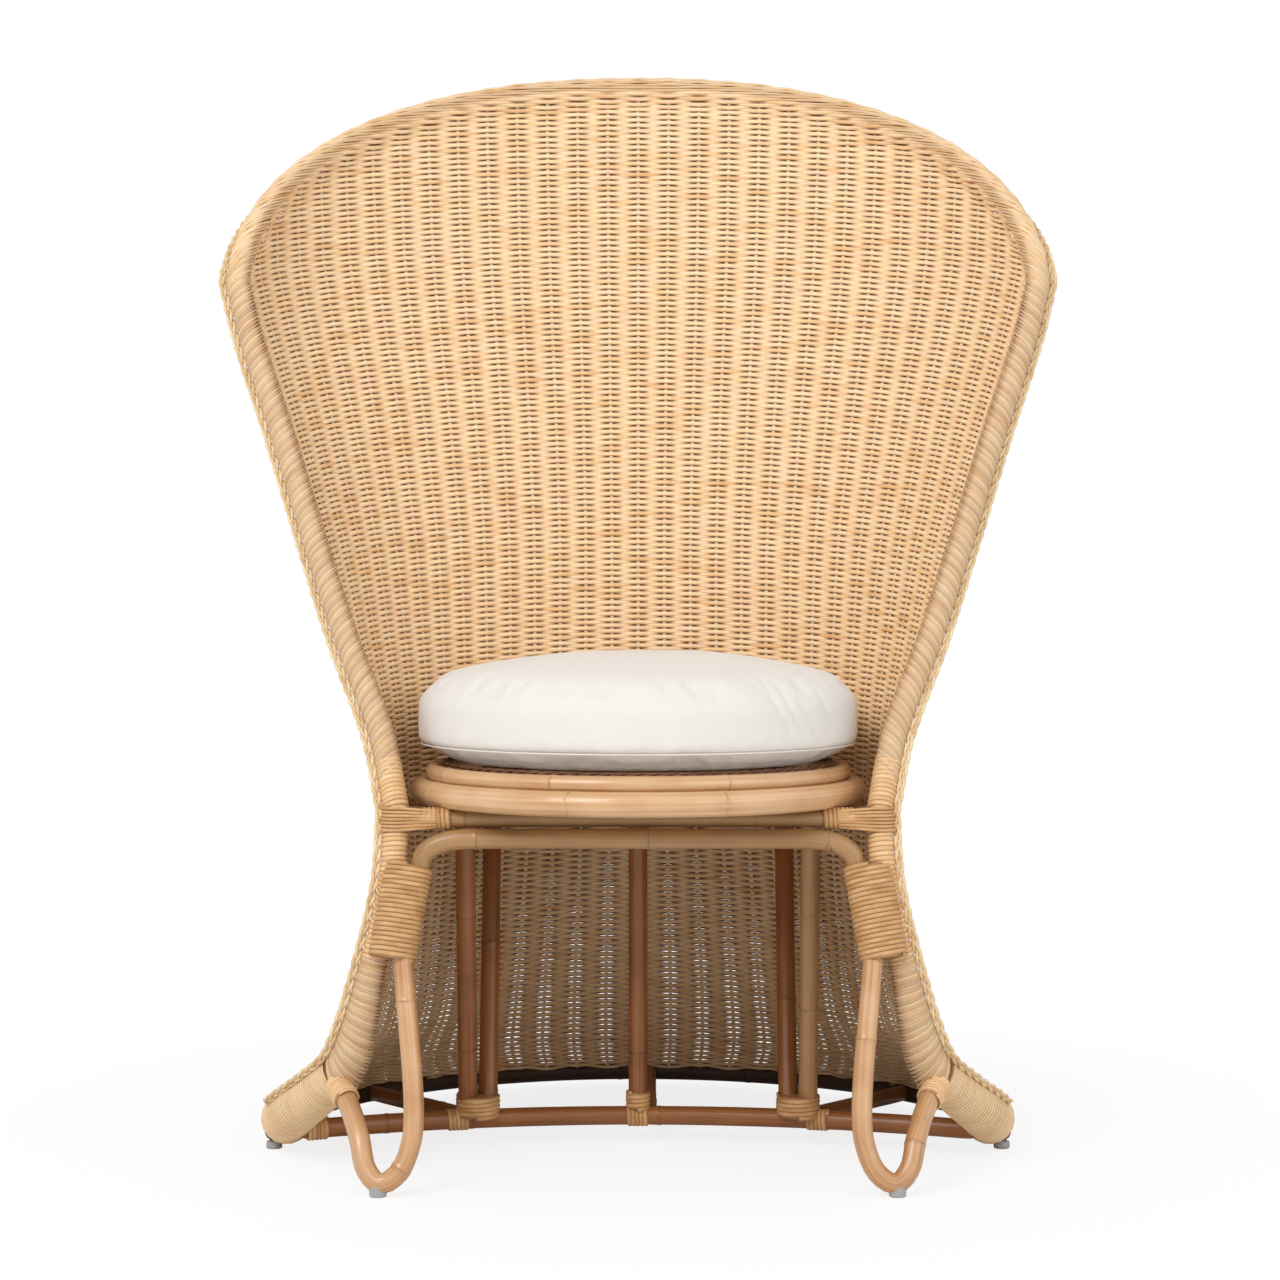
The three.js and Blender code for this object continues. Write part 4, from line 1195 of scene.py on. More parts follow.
@dataclass
class CanePole:
    """A pole of whole cane, slightly swollen and darker at each node.

    The CAD node that it stands for has its name without the last word, unless one is given.
    """

    name: str
    line: np.ndarray
    radius: float
    finish: RattanPole
    seed: int
    node: str = ""
    closed: bool = False
    sides: int = 14
    node_distance: float = 165.0
    spacing: float = 7.0
    swell: float = 0.55
    swell_width: float = 2.6
    ring_width: float = 1.1
    wander: float = 0.1
    first_node: float = 20.0
    bare_end: float = 14.0
    node_drift: float = 0.1

    def build(self) -> None:
        """Sweeps the pole with its nodes."""
        rng = np.random.default_rng(self.seed)
        line = np.asarray(self.line, float)
        if self.closed:
            line = np.concatenate([line, line[:1]])
        coarse = even_line(line, self.spacing)
        at = run_length(coarse)
        first = rng.uniform(self.first_node, self.node_distance * 0.8)
        rings = np.arange(first, at[-1] - self.bare_end, self.node_distance)
        rings = rings + rng.normal(0, self.node_distance * self.node_drift, len(rings))
        close = np.array([-5, -3, -1.8, -0.9, 0, 0.9, 1.8, 3, 5])
        places = np.concatenate([at, (rings[:, None] + close).ravel()])
        places = np.unique(np.round(places[(places >= 0) & (places <= at[-1])], 2))
        if self.closed:
            places = places[:-1]
        points = read_line(places, at, coarse)
        away = np.abs(places[:, None] - rings).min(1) if len(rings) else np.full(len(places), 99.0)
        wander = np.interp(places, np.linspace(0, at[-1], 12), rng.normal(0, self.wander, 12))
        if self.closed:
            wander = wander * np.sin(np.pi * places / at[-1])
        radius = self.radius + self.swell * np.exp(-(away / self.swell_width)**2)
        radius = radius + wander - self.wander
        up = np.array([0.0, 0.0, 1.0])
        run = unit(points[-1] - points[0]) if not self.closed else np.array([1.0, 0, 0])
        if abs(run[2]) > 0.7:
            up = np.array([0.0, -1.0, 0.0])
        mesh = SweptMesh(self.name)
        mesh.sweep(points, radius, up, self.sides, self.closed, True,
                   np.exp(-(away / self.ring_width)**2))
        node = self.node or self.name.removesuffix("_cane")
        mesh.build(self.finish, node)


@dataclass
class Frame:
    """The cane poles of seat and under-frame, on the lines of their solids."""

    shell: Shell
    ring_radius: float = 230.0
    ring_thickness: float = 26.0
    ring_height: float = 390.0
    upper_radius: float = 218.0
    upper_thickness: float = 18.0
    upper_height: float = 408.8
    seat_y: float = -20.0
    bearer_radius: float = 9.0
    bearer_height: float = 367.7
    front_bearer_y: float = -100.0
    rear_bearer_y: float = 130.0
    cross_rail_y: float = -146.0
    hoop_half_width: float = 392.0
    hoop_depth: float = 371.0
    hoop_y: float = -5.0
    hoop_height: float = 18.0
    pole_radius: float = 10.5
    rail_half_width: float = 352.0
    rail_end_y: float = -44.0
    rail_middle_y: float = 33.0
    rail_height: float = 28.0
    cope: float = 0.35
    stretcher_radius: float = 9.0
    arch_half_width: float = 222.0
    arch_y: float = -156.0
    arch_bend: float = 55.0
    arch_height: float = 347.9
    post_top: float = 319.9
    post_joint: float = 275.9
    post_bottom: float = 227.9
    leg_top: Pair = (238.0, -185.0)
    leg_bend: tuple[Triple, ...] = (
        (223.5, -228.0, 82.0), (226.0, -236.0, 50.0), (238.5, -241.5, 22.5), (256.5, -241.0, 12.4),
        (270.5, -234.0, 25.0), (279.0, -218.0, 54.0))
    leg_tip: Triple = (-6.0, -4.5, -4.0)
    leg_join: float = 104.0
    leg_end_shift: Triple = (-18.0, -38.0, -19.0)
    leg_node_distance: float = 190.0
    rail_toe: Triple = (374.0, -40.0, 31.0)
    waist_level: float = 364.0
    waist_inset: float = 11.2
    waist_radius: float = 6.0
    stretcher_x: float = 12.0
    pair_x: float = 173.5
    front_foot_x: float = 184.0
    front_top_x: float = 180.0
    rear_x: float = 163.0
    brace_share: float = 0.58

    def circle(self, radius: float, height: float, count: int = 180) -> np.ndarray:
        """Points of a level circle round the seat's middle.

        Args:
            radius: Its radius.
            height: Its height.
            count: How many points.

        Returns:
            The points.
        """
        angle = 2 * np.pi * np.arange(count) / count
        return np.stack([radius * np.cos(angle), self.seat_y + radius * np.sin(angle),
                         np.full(count, height)], -1)

    def hoop_point(self, share: np.ndarray, spread: float = 0.0,
                   height: Optional[float] = None) -> np.ndarray:
        """Point of the base hoop.

        Args:
            share: From -1 at the left to 1 at the right.
            spread: How far outside the hoop.
            height: Its height, if not the hoop's own.

        Returns:
            The points.
        """
        angle = np.asarray(share, float) * np.pi / 2
        z = self.hoop_height if height is None else height
        return np.stack([(self.hoop_half_width + spread) * np.sin(angle),
                         self.hoop_y + (self.hoop_depth + spread) * np.cos(angle),
                         np.full(angle.shape, z)], -1)

    def rail_at(self, x: np.ndarray) -> np.ndarray:
        """Point of the bowed base rail.

        Args:
            x: Distances from the chair's middle.

        Returns:
            The points.
        """
        x = np.asarray(x, float)
        bow = (self.rail_middle_y - self.rail_end_y) * (1 - (x / self.rail_half_width)**2)
        return np.stack([x, self.rail_end_y + bow, np.full(x.shape, self.rail_height)], -1)

    def leg_at(self, height: float, side: Side = Side.RIGHT) -> np.ndarray:
        """Point of the front post's straight line.

        Args:
            height: Its height above the floor.
            side: The post's side.

        Returns:
            The point.
        """
        share = (height - self.post_bottom) / (self.post_top - self.post_bottom)
        x = self.leg_top[0] + (self.arch_half_width - self.leg_top[0]) * share
        y = self.leg_top[1] + (self.arch_y - self.leg_top[1]) * share
        return np.array([x * side.value, y, height])

    def arch_line(self) -> np.ndarray:
        """The seat arch, from the right post's joint over to the left's.

        Returns:
            The arch's centre line.
        """
        start = self.leg_at(self.post_top)
        corner = np.array([self.arch_half_width, self.arch_y, self.arch_height])
        end = corner - np.array([self.arch_bend, 0, 0])
        u = np.linspace(0, 1, 14)[:, None]
        bend = (1 - u)**2 * start + 2 * u * (1 - u) * corner + u**2 * end
        right = np.concatenate([[self.leg_at(self.post_joint + 0.2)], bend])
        return np.concatenate([right, (right * np.array([-1, 1, 1]))[::-1]])

    def leg_line(self, side: Side) -> np.ndarray:
        """The looped front leg, from the post's joint to the edge pole.

        Args:
            side: The leg's side.

        Returns:
            The leg's centre line.
        """
        join = self.shell.point(np.array(self.leg_join), np.array(1.0)) + np.array(self.leg_tip)
        run = bent_line(np.array([self.leg_at(self.post_bottom), *self.leg_bend,
                                  join + np.array(self.leg_end_shift), join]))
        line = np.concatenate([[self.leg_at(self.post_joint - 0.2)], run])
        return line * np.array([side.value, 1, 1])

    def upright_line(self, foot_x: float, top_x: float, top_y: float) -> np.ndarray:
        """A straight upright from the rail to its bearer.

        Args:
            foot_x: Distance of its foot from the chair's middle.
            top_x: The same of its top.
            top_y: Depth of its top.

        Returns:
            Its two ends.
        """
        foot = self.rail_at(np.array(foot_x)) + np.array([0, 0, self.cope * self.pole_radius])
        top = np.array([top_x, top_y, self.bearer_height - self.cope * self.bearer_radius])
        return np.stack([foot, top])

    def reach(self, node: str) -> float:
        """Half width of a CAD node in design millimetres."""
        low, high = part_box(node)
        return max(abs(low[0]), abs(high[0])) / MM

    def build(self) -> None:
        """Makes every pole of the seat and the under-frame."""
        honey, brown, shaded_honey, flip = HONEY_POLE, BROWN_POLE, SHADED_HONEY_POLE, np.array([-1, 1, 1])
        rail = self.rail_at(np.linspace(-1, 1, 60) * self.rail_half_width)
        toe = np.array([self.rail_toe])
        rail = np.concatenate([toe * flip, rail, toe])
        hoop = self.hoop_point(np.linspace(-1, 1, 160))
        share = np.linspace(-0.95, 0.95, 120)
        waist = self.shell.point(self.waist_level, share)
        outward, _ = self.shell.directions(np.full(120, self.waist_level), share)
        lines = [
            CanePole("lower_ring_cane", self.circle(self.ring_radius, self.ring_height),
                     self.ring_thickness / 2, honey, 3, "lower_seat_ring", True, 20),
            CanePole("upper_ring_cane", self.circle(self.upper_radius, self.upper_height),
                     self.upper_thickness / 2, honey, 4, "upper_seat_ring", True, 16),
            CanePole("seat_arch_cane", self.arch_line(), self.pole_radius, shaded_honey, 5),
            CanePole("base_rail_cane", rail, self.pole_radius, brown, 6),
            # The base hoop's near black is painted shadow under the skirt.
            CanePole("base_hoop_cane", hoop, self.pole_radius, SHADOWED_HOOP_POLE, 7),
            CanePole("waist_hoop_cane", waist - outward * self.waist_inset, self.waist_radius, shaded_honey,
                     8),
        ]
        for name, y, seed in (("front_bearer", self.front_bearer_y, 9),
                              ("rear_bearer", self.rear_bearer_y, 10),
                              ("seat_cross_rail", self.cross_rail_y, 11)):
            x = self.reach(name)
            line = np.array([[-x, y, self.bearer_height], [x, y, self.bearer_height]])
            lines.append(CanePole(f"{name}_cane", line, self.bearer_radius, shaded_honey, seed))
        gap = self.bearer_radius + FIT_GAP
        spine = np.array([[0, self.front_bearer_y + gap, self.bearer_height],
                          [0, self.rear_bearer_y - gap, self.bearer_height]])
        turned = math.asin(self.stretcher_x / self.hoop_half_width)
        stretcher = np.stack([self.rail_at(np.array(self.stretcher_x)),
                              self.hoop_point(np.array(turned * 2 / math.pi))])
        lines += [
            CanePole("spine_bearer_cane", spine, self.bearer_radius, shaded_honey, 12),
            CanePole("centre_upright_cane", self.upright_line(0, 0, self.rail_middle_y),
                     self.pole_radius, brown, 13),
            CanePole("centre_stretcher_cane", stretcher, self.stretcher_radius, brown, 14),
        ]
        for side in Side:
            turn = flip if side is Side.LEFT else 1
            word, n = side.word, side.value
            # The right front upright takes the honey finish darkened with painted shade, the left
            # one the brown.
            outer = brown if side is Side.LEFT else shaded_honey
            front = self.upright_line(self.front_foot_x, self.front_top_x, self.front_bearer_y)
            rear = self.upright_line(self.rear_x, self.rear_x, self.rear_bearer_y)
            brace = np.stack([self.rail_at(np.array(self.pair_x)),
                              self.hoop_point(np.array(self.brace_share))])
            lines += [
                CanePole(f"{word}_front_upright_cane", front * turn, self.pole_radius, outer,
                         20 + n),
                CanePole(f"{word}_rear_upright_cane", rear * turn, self.pole_radius, brown, 30 + n),
                CanePole(f"{word}_brace_cane", brace * turn, self.stretcher_radius, brown, 40 + n),
                CanePole(f"{word}_leg_cane", self.leg_line(side), self.pole_radius, AMBER_POLE,
                         50 + n, f"{word}_leg_loop", node_distance=self.leg_node_distance),
            ]
        for pole in lines:
            pole.build()


# Windings and plaits


def oval_helix(line: np.ndarray, up: np.ndarray, reach_up: np.ndarray, reach_across: np.ndarray,
               pitch: float, steps: int = 14, fullness: float = 1.0,
               ) -> tuple[np.ndarray, np.ndarray]:
    """Helix round a line on an oval section.

    Args:
        line: The winding's centre line.
        up: The direction of the first reach, one for all or one for each point.
        reach_up: Distance of the strand from the line along up, at each point.
        reach_across: The same across it.
        pitch: Distance between two turns.
        steps: Points in one turn.
        fullness: 1 for an oval; less makes its sides flatter and its ends fuller.

    Returns:
        The strand's points, and the outward direction at each.
    """
    line = np.asarray(line, float)
    along = run_length(line)
    at = np.linspace(0, along[-1], max(8, int(along[-1] / pitch * steps)) + 1)
    run = unit(np.gradient(line, axis=0))
    up = np.broadcast_to(np.asarray(up, float), line.shape)
    first = unit(up - (up * run).sum(-1, keepdims=True) * run)
    second = np.cross(run, first)

    def read(values: np.ndarray) -> np.ndarray:
        """Reads values of the line's points at the helix's places.

        Args:
            values: One value or vector for each point of the line.

        Returns:
            The same for each place.
        """
        if values.ndim == 1:
            return np.interp(at, along, values)
        return read_line(at, along, values)

    count = len(line)
    a = read(np.broadcast_to(np.asarray(reach_up, float), (count,)))[:, None]
    b = read(np.broadcast_to(np.asarray(reach_across, float), (count,)))[:, None]
    angle = (2 * np.pi * at / pitch)[:, None]
    first, second = read(first), read(second)
    c = np.sign(np.cos(angle)) * np.abs(np.cos(angle))**fullness
    s = np.sign(np.sin(angle)) * np.abs(np.sin(angle))**fullness
    place = read(line) + a * c * first + b * s * second
    outward = unit(b * np.cos(angle) * first + a * np.sin(angle) * second)
    return place, outward


@dataclass
class Winding:
    """Peel wound tightly round one or two poles."""

    name: str
    line: np.ndarray
    reach_up: np.ndarray
    reach_across: np.ndarray
    nodes: tuple[str, ...]
    up: Triple = (0.0, -1.0, 0.0)
    pitch: float = 5.0
    thickness: float = 1.5
    finish: RattanCore = WRAP_PEEL
    steps: int = 14
    extra: Sequence["Winding"] = ()
    fullness: float = 1.0
    width_share: float = 0.53
    ground_shade: float = 0.5

    def add_to(self, mesh: SweptMesh) -> None:
        """Winds the strand and its ground into a piece.

        Args:
            mesh: The piece.
        """
        line = even_line(self.line, 4.0)
        share = np.linspace(0, 1, len(line))
        known = np.linspace(0, 1, len(np.atleast_1d(self.reach_up)))
        up_reach = np.interp(share, known, np.atleast_1d(self.reach_up)) - self.thickness
        across = np.interp(share, known, np.atleast_1d(self.reach_across)) - self.thickness
        place, outward = oval_helix(line, self.up, up_reach, across, self.pitch, self.steps,
                                    self.fullness)
        size = np.stack([np.full(len(place), self.thickness),
                         np.full(len(place), self.pitch * self.width_share)], -1)
        # Painted shade on each turn's side facing the pole.
        mesh.sweep(place, size, outward, 6, hollow=np.ones(len(place)))
        # The ground under the turns is darkened all round with painted shade, seen in the gaps
        # between them.
        ground = np.stack([up_reach, across], -1)
        mesh.sweep(line, ground, self.up, 14, ring=np.full(len(line), self.ground_shade))
        for other in self.extra:
            other.add_to(mesh)

    def build(self) -> None:
        """Makes the piece."""
        mesh = SweptMesh(self.name)
        self.add_to(mesh)
        mesh.build(self.finish, *self.nodes)


@dataclass
class Plait:
    """Border plaited of three strands along a line."""

    name: str
    line: np.ndarray
    wide: np.ndarray
    nodes: tuple[str, ...]
    finish: RattanCore = BRAID_CORE
    period: float = 46.0
    spread: float = 2.7
    lift: float = 1.3
    strand: float = 1.85
    flatness: float = 0.86
    crossing_shade: float = 0.2
    closed: bool = False

    def build(self) -> None:
        """Plaits the three strands; wide holds the direction across the plait's face."""
        line = np.asarray(self.line, float)
        wide = np.broadcast_to(np.asarray(self.wide, float), line.shape)
        if self.closed:
            line = np.concatenate([line, line[:1]])
            wide = np.concatenate([wide, wide[:1]])
        length = run_length(line)
        turns = max(1, round(length[-1] / self.period))
        at = np.linspace(0, length[-1], turns * 18 + 1)
        if self.closed:
            at = at[:-1]
        place, across = read_line(at, length, line), read_line(at, length, wide)
        run = unit(np.gradient(place, axis=0))
        across = unit(across - (across * run).sum(-1, keepdims=True) * run)
        face = np.cross(run, across)
        mesh = SweptMesh(self.name)
        for strand in range(3):
            phase = 2 * np.pi * (at / length[-1] * turns + strand / 3)
            shift = self.spread * np.sin(phase)[:, None] * across
            rise = self.lift * np.sin(2 * phase)[:, None] * face
            size = np.stack([np.full(len(at), self.strand * self.flatness),
                             np.full(len(at), self.strand)], -1)
            # Painted shade on the strands where they cross under one another.
            mesh.sweep(place + shift + rise, size, face, 7, self.closed,
                       ring=self.crossing_shade * np.abs(np.cos(phase)))
        mesh.build(self.finish, *self.nodes)


@dataclass
class Bindings:
    """Everything wound or plaited on the poles."""

    frame: Frame
    line: EdgeLine
    pole_radius: float = 14.0
    wound_top: float = 436.0
    core_radius: float = 10.6
    rim_core_radius: float = 9.7
    wrap_top: float = 96.0
    wound_foot: float = 224.0
    wrap_radii: tuple[float, ...] = (23.6, 24.4, 26.0, 27.5, 27.5, 19.0)
    wrap_shift: tuple[float, ...] = (9.0, 9.5, 10.5, 11.5, 11.5, 9.0)
    wrap_levels: tuple[float, ...] = (108.0, 84.0, 60.0, 42.0, 33.0)
    toe: Triple = (392.0, 24.0, 24.0)
    post_outer: Pair = (258.0, 272.0)
    braid_offset: float = 17.7
    rim_braid_offset: float = 17.7
    braid_tuck: float = math.radians(60)
    braid_heights: Pair = (52.0, 945.0)
    rim_braid_height: float = 934.0
    base_braid_place: Pair = (15.3, 23.0)
    base_braid_start: float = 26.0
    deck_braid_place: Pair = (204.7, 418.1)
    # Painted shade on the pole cores, seen in the gaps between the wound strands.
    core_shade: float = 0.9
    core_overlap: float = 8.0
    limb_ends: Pair = (41.0, 10.0)
    limb_radius: float = 14.0
    collar_length: float = 30.0
    collar_radius: float = 12.0
    rail_tie_radius: float = 12.2
    pair_tie: Pair = (184.0, 206.0)
    end_tie: Pair = (332.0, 352.0)
    end_tie_radius: float = 12.6
    pair_heights: Pair = (4.0, 26.0)
    pair_radii: Pair = (26.0, 24.2)
    centre_tie: float = 11.0
    centre_heights: Pair = (8.0, 26.0)
    centre_radius: float = 13.6
    strap_turns: int = 7
    strap_pitch: float = 3.6
    strap_spread: float = 2.6
    strap_reach: float = 10.8
    strap_start: float = 16.0
    strap_lift: float = 1.6
    strap_peel: Pair = (1.1, 1.85)
    plait_tuck: float = 0.35
    plait_heights: Pair = (60.0, 260.0)
    joint_pitch: float = 4.6
    post_pitch: float = 4.8
    post_peel: float = 1.4
    post_wrap: Pair = (6.0, 3.4)
    post_grip: float = 2.6
    post_squareness: float = 0.8
    foot_pitch: float = 4.2
    foot_peel: float = 1.0
    edge_grip: float = 0.1
    base_spread: float = 2.9
    strap_angles: Pair = (-14.0, 170.0)
    strap_middle: float = 20.0

    def pole_line(self, low: float, high: float, side: Side) -> np.ndarray:
        """The edge pole's centre line between two levels."""
        levels = np.arange(low, high + 0.1, 4.0)
        return self.line.shell.point(levels, np.full(len(levels), float(side.value)))

    def build_edges(self) -> None:
        """Makes poles, windings and plaits of the shell's edge."""
        shell = self.line.shell
        shoulder = float(shell.rim_level(np.array(1.0)))
        shares = np.linspace(-1, 1, 160)
        rim = shell.point(shell.rim_level(shares), shares)
        rim = even_line(rim, 8)
        top = SweptMesh("top_rim_core")
        top.sweep(rim, np.array(self.rim_core_radius), (0, 1, 0), 12,
                  ring=np.full(len(rim), self.core_shade))
        top.build(WRAP_PEEL, "top_rim_pole")
        for side in Side:
            word, turn = side.word, np.array([side.value, 1, 1])
            core = SweptMesh(f"{word}_edge_pole_core")
            for low, high in ((self.wound_top - self.core_overlap, shoulder),
                              (self.wrap_top - self.core_overlap,
                               self.wound_foot + self.core_overlap)):
                part = self.pole_line(low, high, side)
                swell = self.line.swell_at(part[:, 2])
                core.sweep(self.line.core(part, swell), self.core_radius + swell, (0, 1, 0), 12,
                           ring=np.full(len(part), self.core_shade))
            core.build(WRAP_PEEL, f"{word}_edge_pole")
            wound = self.pole_line(self.wound_foot, self.wound_top, side)
            grip = self.pole_radius + self.edge_grip
            Winding(f"{word}_edge_pole_winding", wound, grip, grip, (f"{word}_edge_pole",)).build()
            foot = np.array([shell.point(np.array(level), np.array(1.0))
                             for level in self.wrap_levels] + [np.array(self.toe)])
            foot[:-1] = self.line.core(foot[:-1], np.array(self.wrap_shift[:-1]))
            foot[-1, 0] -= self.wrap_shift[-1]
            foot[:, 2] = np.maximum(foot[:, 2], np.array(self.wrap_radii) + 1.0)
            foot = foot * turn
            wrap = bent_line(foot, 8)
            radii = np.interp(np.linspace(0, len(foot) - 1, len(wrap)), np.arange(len(foot)),
                              self.wrap_radii)
            Winding(f"{word}_foot_winding", wrap, radii, radii, (f"{word}_foot_wrap",),
                    pitch=self.foot_pitch, thickness=self.foot_peel, finish=FOOT_PEEL,
                    steps=18).build()
            index = np.arange(len(self.line.points))
            z = self.line.points[:, 2]
            start, end = self.braid_heights
            mine = index[(np.sign(self.line.points[:, 0]) == side.value) & (z > start) & (z < end)]
            place, _, inward, away = self.line.at(mine.astype(float))
            low = 1 - smooth_step(place[:, 2], *self.plait_heights)
            away = unit(away - self.plait_tuck * low[:, None] * inward)
            Plait(f"{word}_edge_plait", place + away * self.braid_offset, away,
                  (f"{word}_edge_braid",)).build()
        z = self.line.points[:, 2]
        over = np.flatnonzero(z > self.rim_braid_height)
        place, _, inward, away = self.line.at(over.astype(float))
        rise = np.maximum(place[:, 2] - shell.shoulder_height, 0)
        rise = rise / (shell.height - shell.shoulder_height)
        tuck = (self.braid_tuck * rise**2)[:, None]
        outward = away * np.cos(tuck) + inward * np.sin(tuck)
        Plait("rim_plait", place + outward * self.rim_braid_offset, outward, ("rim_braid",)).build()
        foot = self.frame.hoop_point(np.linspace(-1, 1, 200), *self.base_braid_place)
        kept = foot[:, 1] > self.base_braid_start
        Plait("base_plait", foot[kept], (0, 0, 1), ("base_braid",), spread=self.base_spread).build()
        radius, height = self.deck_braid_place
        ring = self.frame.circle(radius, height, 240)
        middle = np.array([0, self.frame.seat_y, height])
        Plait("deck_plait", ring, unit(ring - middle), ("deck_braid",),
              DARK_BRAID, closed=True).build()

    def build_joints(self) -> None:
        """Makes the bindings where poles meet."""
        frame, shell = self.frame, self.line.shell
        for side in Side:
            word, turn = side.word, np.array([side.value, 1, 1])
            heights = np.linspace(frame.post_top, frame.post_bottom, 24)
            posts = np.array([frame.leg_at(height, side) for height in heights])
            edges = shell.point(heights, np.full(24, 1.0)) * turn
            inner = posts[:, 0] - side.value * frame.pole_radius
            outer = np.linspace(*self.post_outer, 24) * side.value
            middle = (posts + edges) / 2
            middle[:, 0] = (inner + outer) / 2
            depth = ((np.abs(posts[:, 1] - edges[:, 1]) + self.pole_radius) / 2
                     + sum(self.post_wrap))
            width = np.abs(outer - inner) / 2 + self.post_grip
            Winding(f"{word}_post_winding", middle, depth, width, (f"{word}_post_binding",),
                    thickness=self.post_peel, pitch=self.post_pitch, steps=20,
                    finish=SHADED_JOINT_PEEL, fullness=self.post_squareness).build()
            leg = frame.leg_line(side)
            back = unit(leg[-1] - leg[-4])
            limb = np.stack([leg[-1] - back * far for far in self.limb_ends])
            Winding(f"{word}_limb_winding", limb, self.limb_radius, self.limb_radius,
                    (f"{word}_limb_binding",), pitch=self.joint_pitch).build()
            reach = frame.reach(f"{word}_rail_collar")
            collar = np.array([[x * side.value, frame.cross_rail_y, frame.bearer_height]
                               for x in (reach - self.collar_length, reach)])
            Winding(f"{word}_collar_winding", collar, self.collar_radius, self.collar_radius,
                    (f"{word}_rail_collar",), up=(0, 0, 1), pitch=self.joint_pitch,
                    finish=SHADED_JOINT_PEEL).build()
            self.strap(side, reach)
            if side is Side.LEFT:
                self.rail_tie(f"{word}_rail_end_winding", self.end_tie, turn,
                              self.end_tie_radius).build()
            centre = frame.rail_at(np.array(frame.pair_x)) * turn
            Winding(f"{word}_pair_winding",
                    np.stack([centre + [0, 0, rise] for rise in self.pair_heights]),
                    *self.pair_radii, (f"{word}_pair_binding",), pitch=self.joint_pitch,
                    finish=SHADED_JOINT_PEEL,
                    extra=(self.rail_tie("", self.pair_tie, turn, self.rail_tie_radius),)).build()
        centre = frame.rail_at(np.array(0.0))
        tie = self.rail_tie("", (-self.centre_tie, self.centre_tie), np.ones(3),
                            self.rail_tie_radius)
        Winding("centre_winding", np.stack([centre + [0, 0, rise] for rise in self.centre_heights]),
                self.centre_radius, self.centre_radius, ("centre_binding",), pitch=self.joint_pitch,
                finish=SHADED_JOINT_PEEL, extra=(tie,)).build()

    def rail_tie(self, name: str, ends: Pair, turn: np.ndarray, radius: float) -> Winding:
        """Short winding round the base rail.

        Args:
            name: Its name, if it is a piece of its own.
            ends: Where it starts and ends, from the chair's middle.
            turn: Signs that put it on its side.
            radius: Its outer radius.

        Returns:
            The winding.
        """
        rail = np.stack([self.frame.rail_at(np.array(x)) * turn for x in ends])
        return Winding(name, rail, radius, radius, (), up=(0, 0, 1), pitch=4.4, finish=SHADED_JOINT_PEEL)

    def strap(self, side: Side, reach: float) -> None:
        """Ties the seat's cross rail to the edge pole with level turns of peel.

        Args:
            side: The rail's end.
            reach: Distance of that end from the chair's middle.
        """
        frame, n = self.frame, side.value
        mesh = SweptMesh(f"{side.word}_rail_strap")
        for turn in range(self.strap_turns):
            place = turn - self.strap_turns // 2
            z = frame.bearer_height + place * self.strap_pitch
            pole = self.line.shell.point(np.array(z), np.array(1.0)) * np.array([n, 1, 1])
            angle = np.radians(np.linspace(*self.strap_angles, 12))
            radius = self.pole_radius + self.strap_lift
            bend = np.stack([pole[0] + n * radius * np.sin(angle), pole[1] - radius * np.cos(angle),
                             np.full(len(angle), z)], -1)
            drop = place * self.strap_spread
            tail = math.sqrt(max(self.strap_reach**2 - drop**2, 4))
            start = np.array([[(reach - self.strap_start) * n, frame.cross_rail_y - tail,
                               frame.bearer_height + drop]])
            line = even_line(bent_line(np.concatenate([start, bend]), 5), 2.5)
            out = line - np.array([pole[0], pole[1] + self.strap_middle, z])
            # Painted shade on each turn's side facing the pole.
            mesh.sweep(line, np.array([self.strap_peel]).repeat(len(line), 0), unit(out), 6,
                       hollow=np.ones(len(line)))
        mesh.build(SHADED_JOINT_PEEL)

    def build(self) -> None:
        """Makes all windings and plaits."""
        self.build_edges()
        self.build_joints()


# Deck, glides and cushion


def clear_selection() -> None:
    """Deselects every object before an operator."""
    bpy.ops.object.select_all(action="DESELECT")


def select_faces(piece: Object, wanted: Callable[[Vector, Vector], bool]) -> None:
    """Selects the faces of a piece in edit mode by centre and normal.

    Args:
        piece: The object, in edit mode.
        wanted: Says whether a face with that centre and normal is selected.
    """
    bpy.ops.mesh.select_mode(type="FACE")
    bpy.ops.mesh.select_all(action="DESELECT")
    mesh = bmesh.from_edit_mesh(piece.data)
    for face in mesh.faces:
        face.select_set(wanted(face.calc_center_median(), face.normal))
    mesh.select_flush_mode()
    bmesh.update_edit_mesh(piece.data)


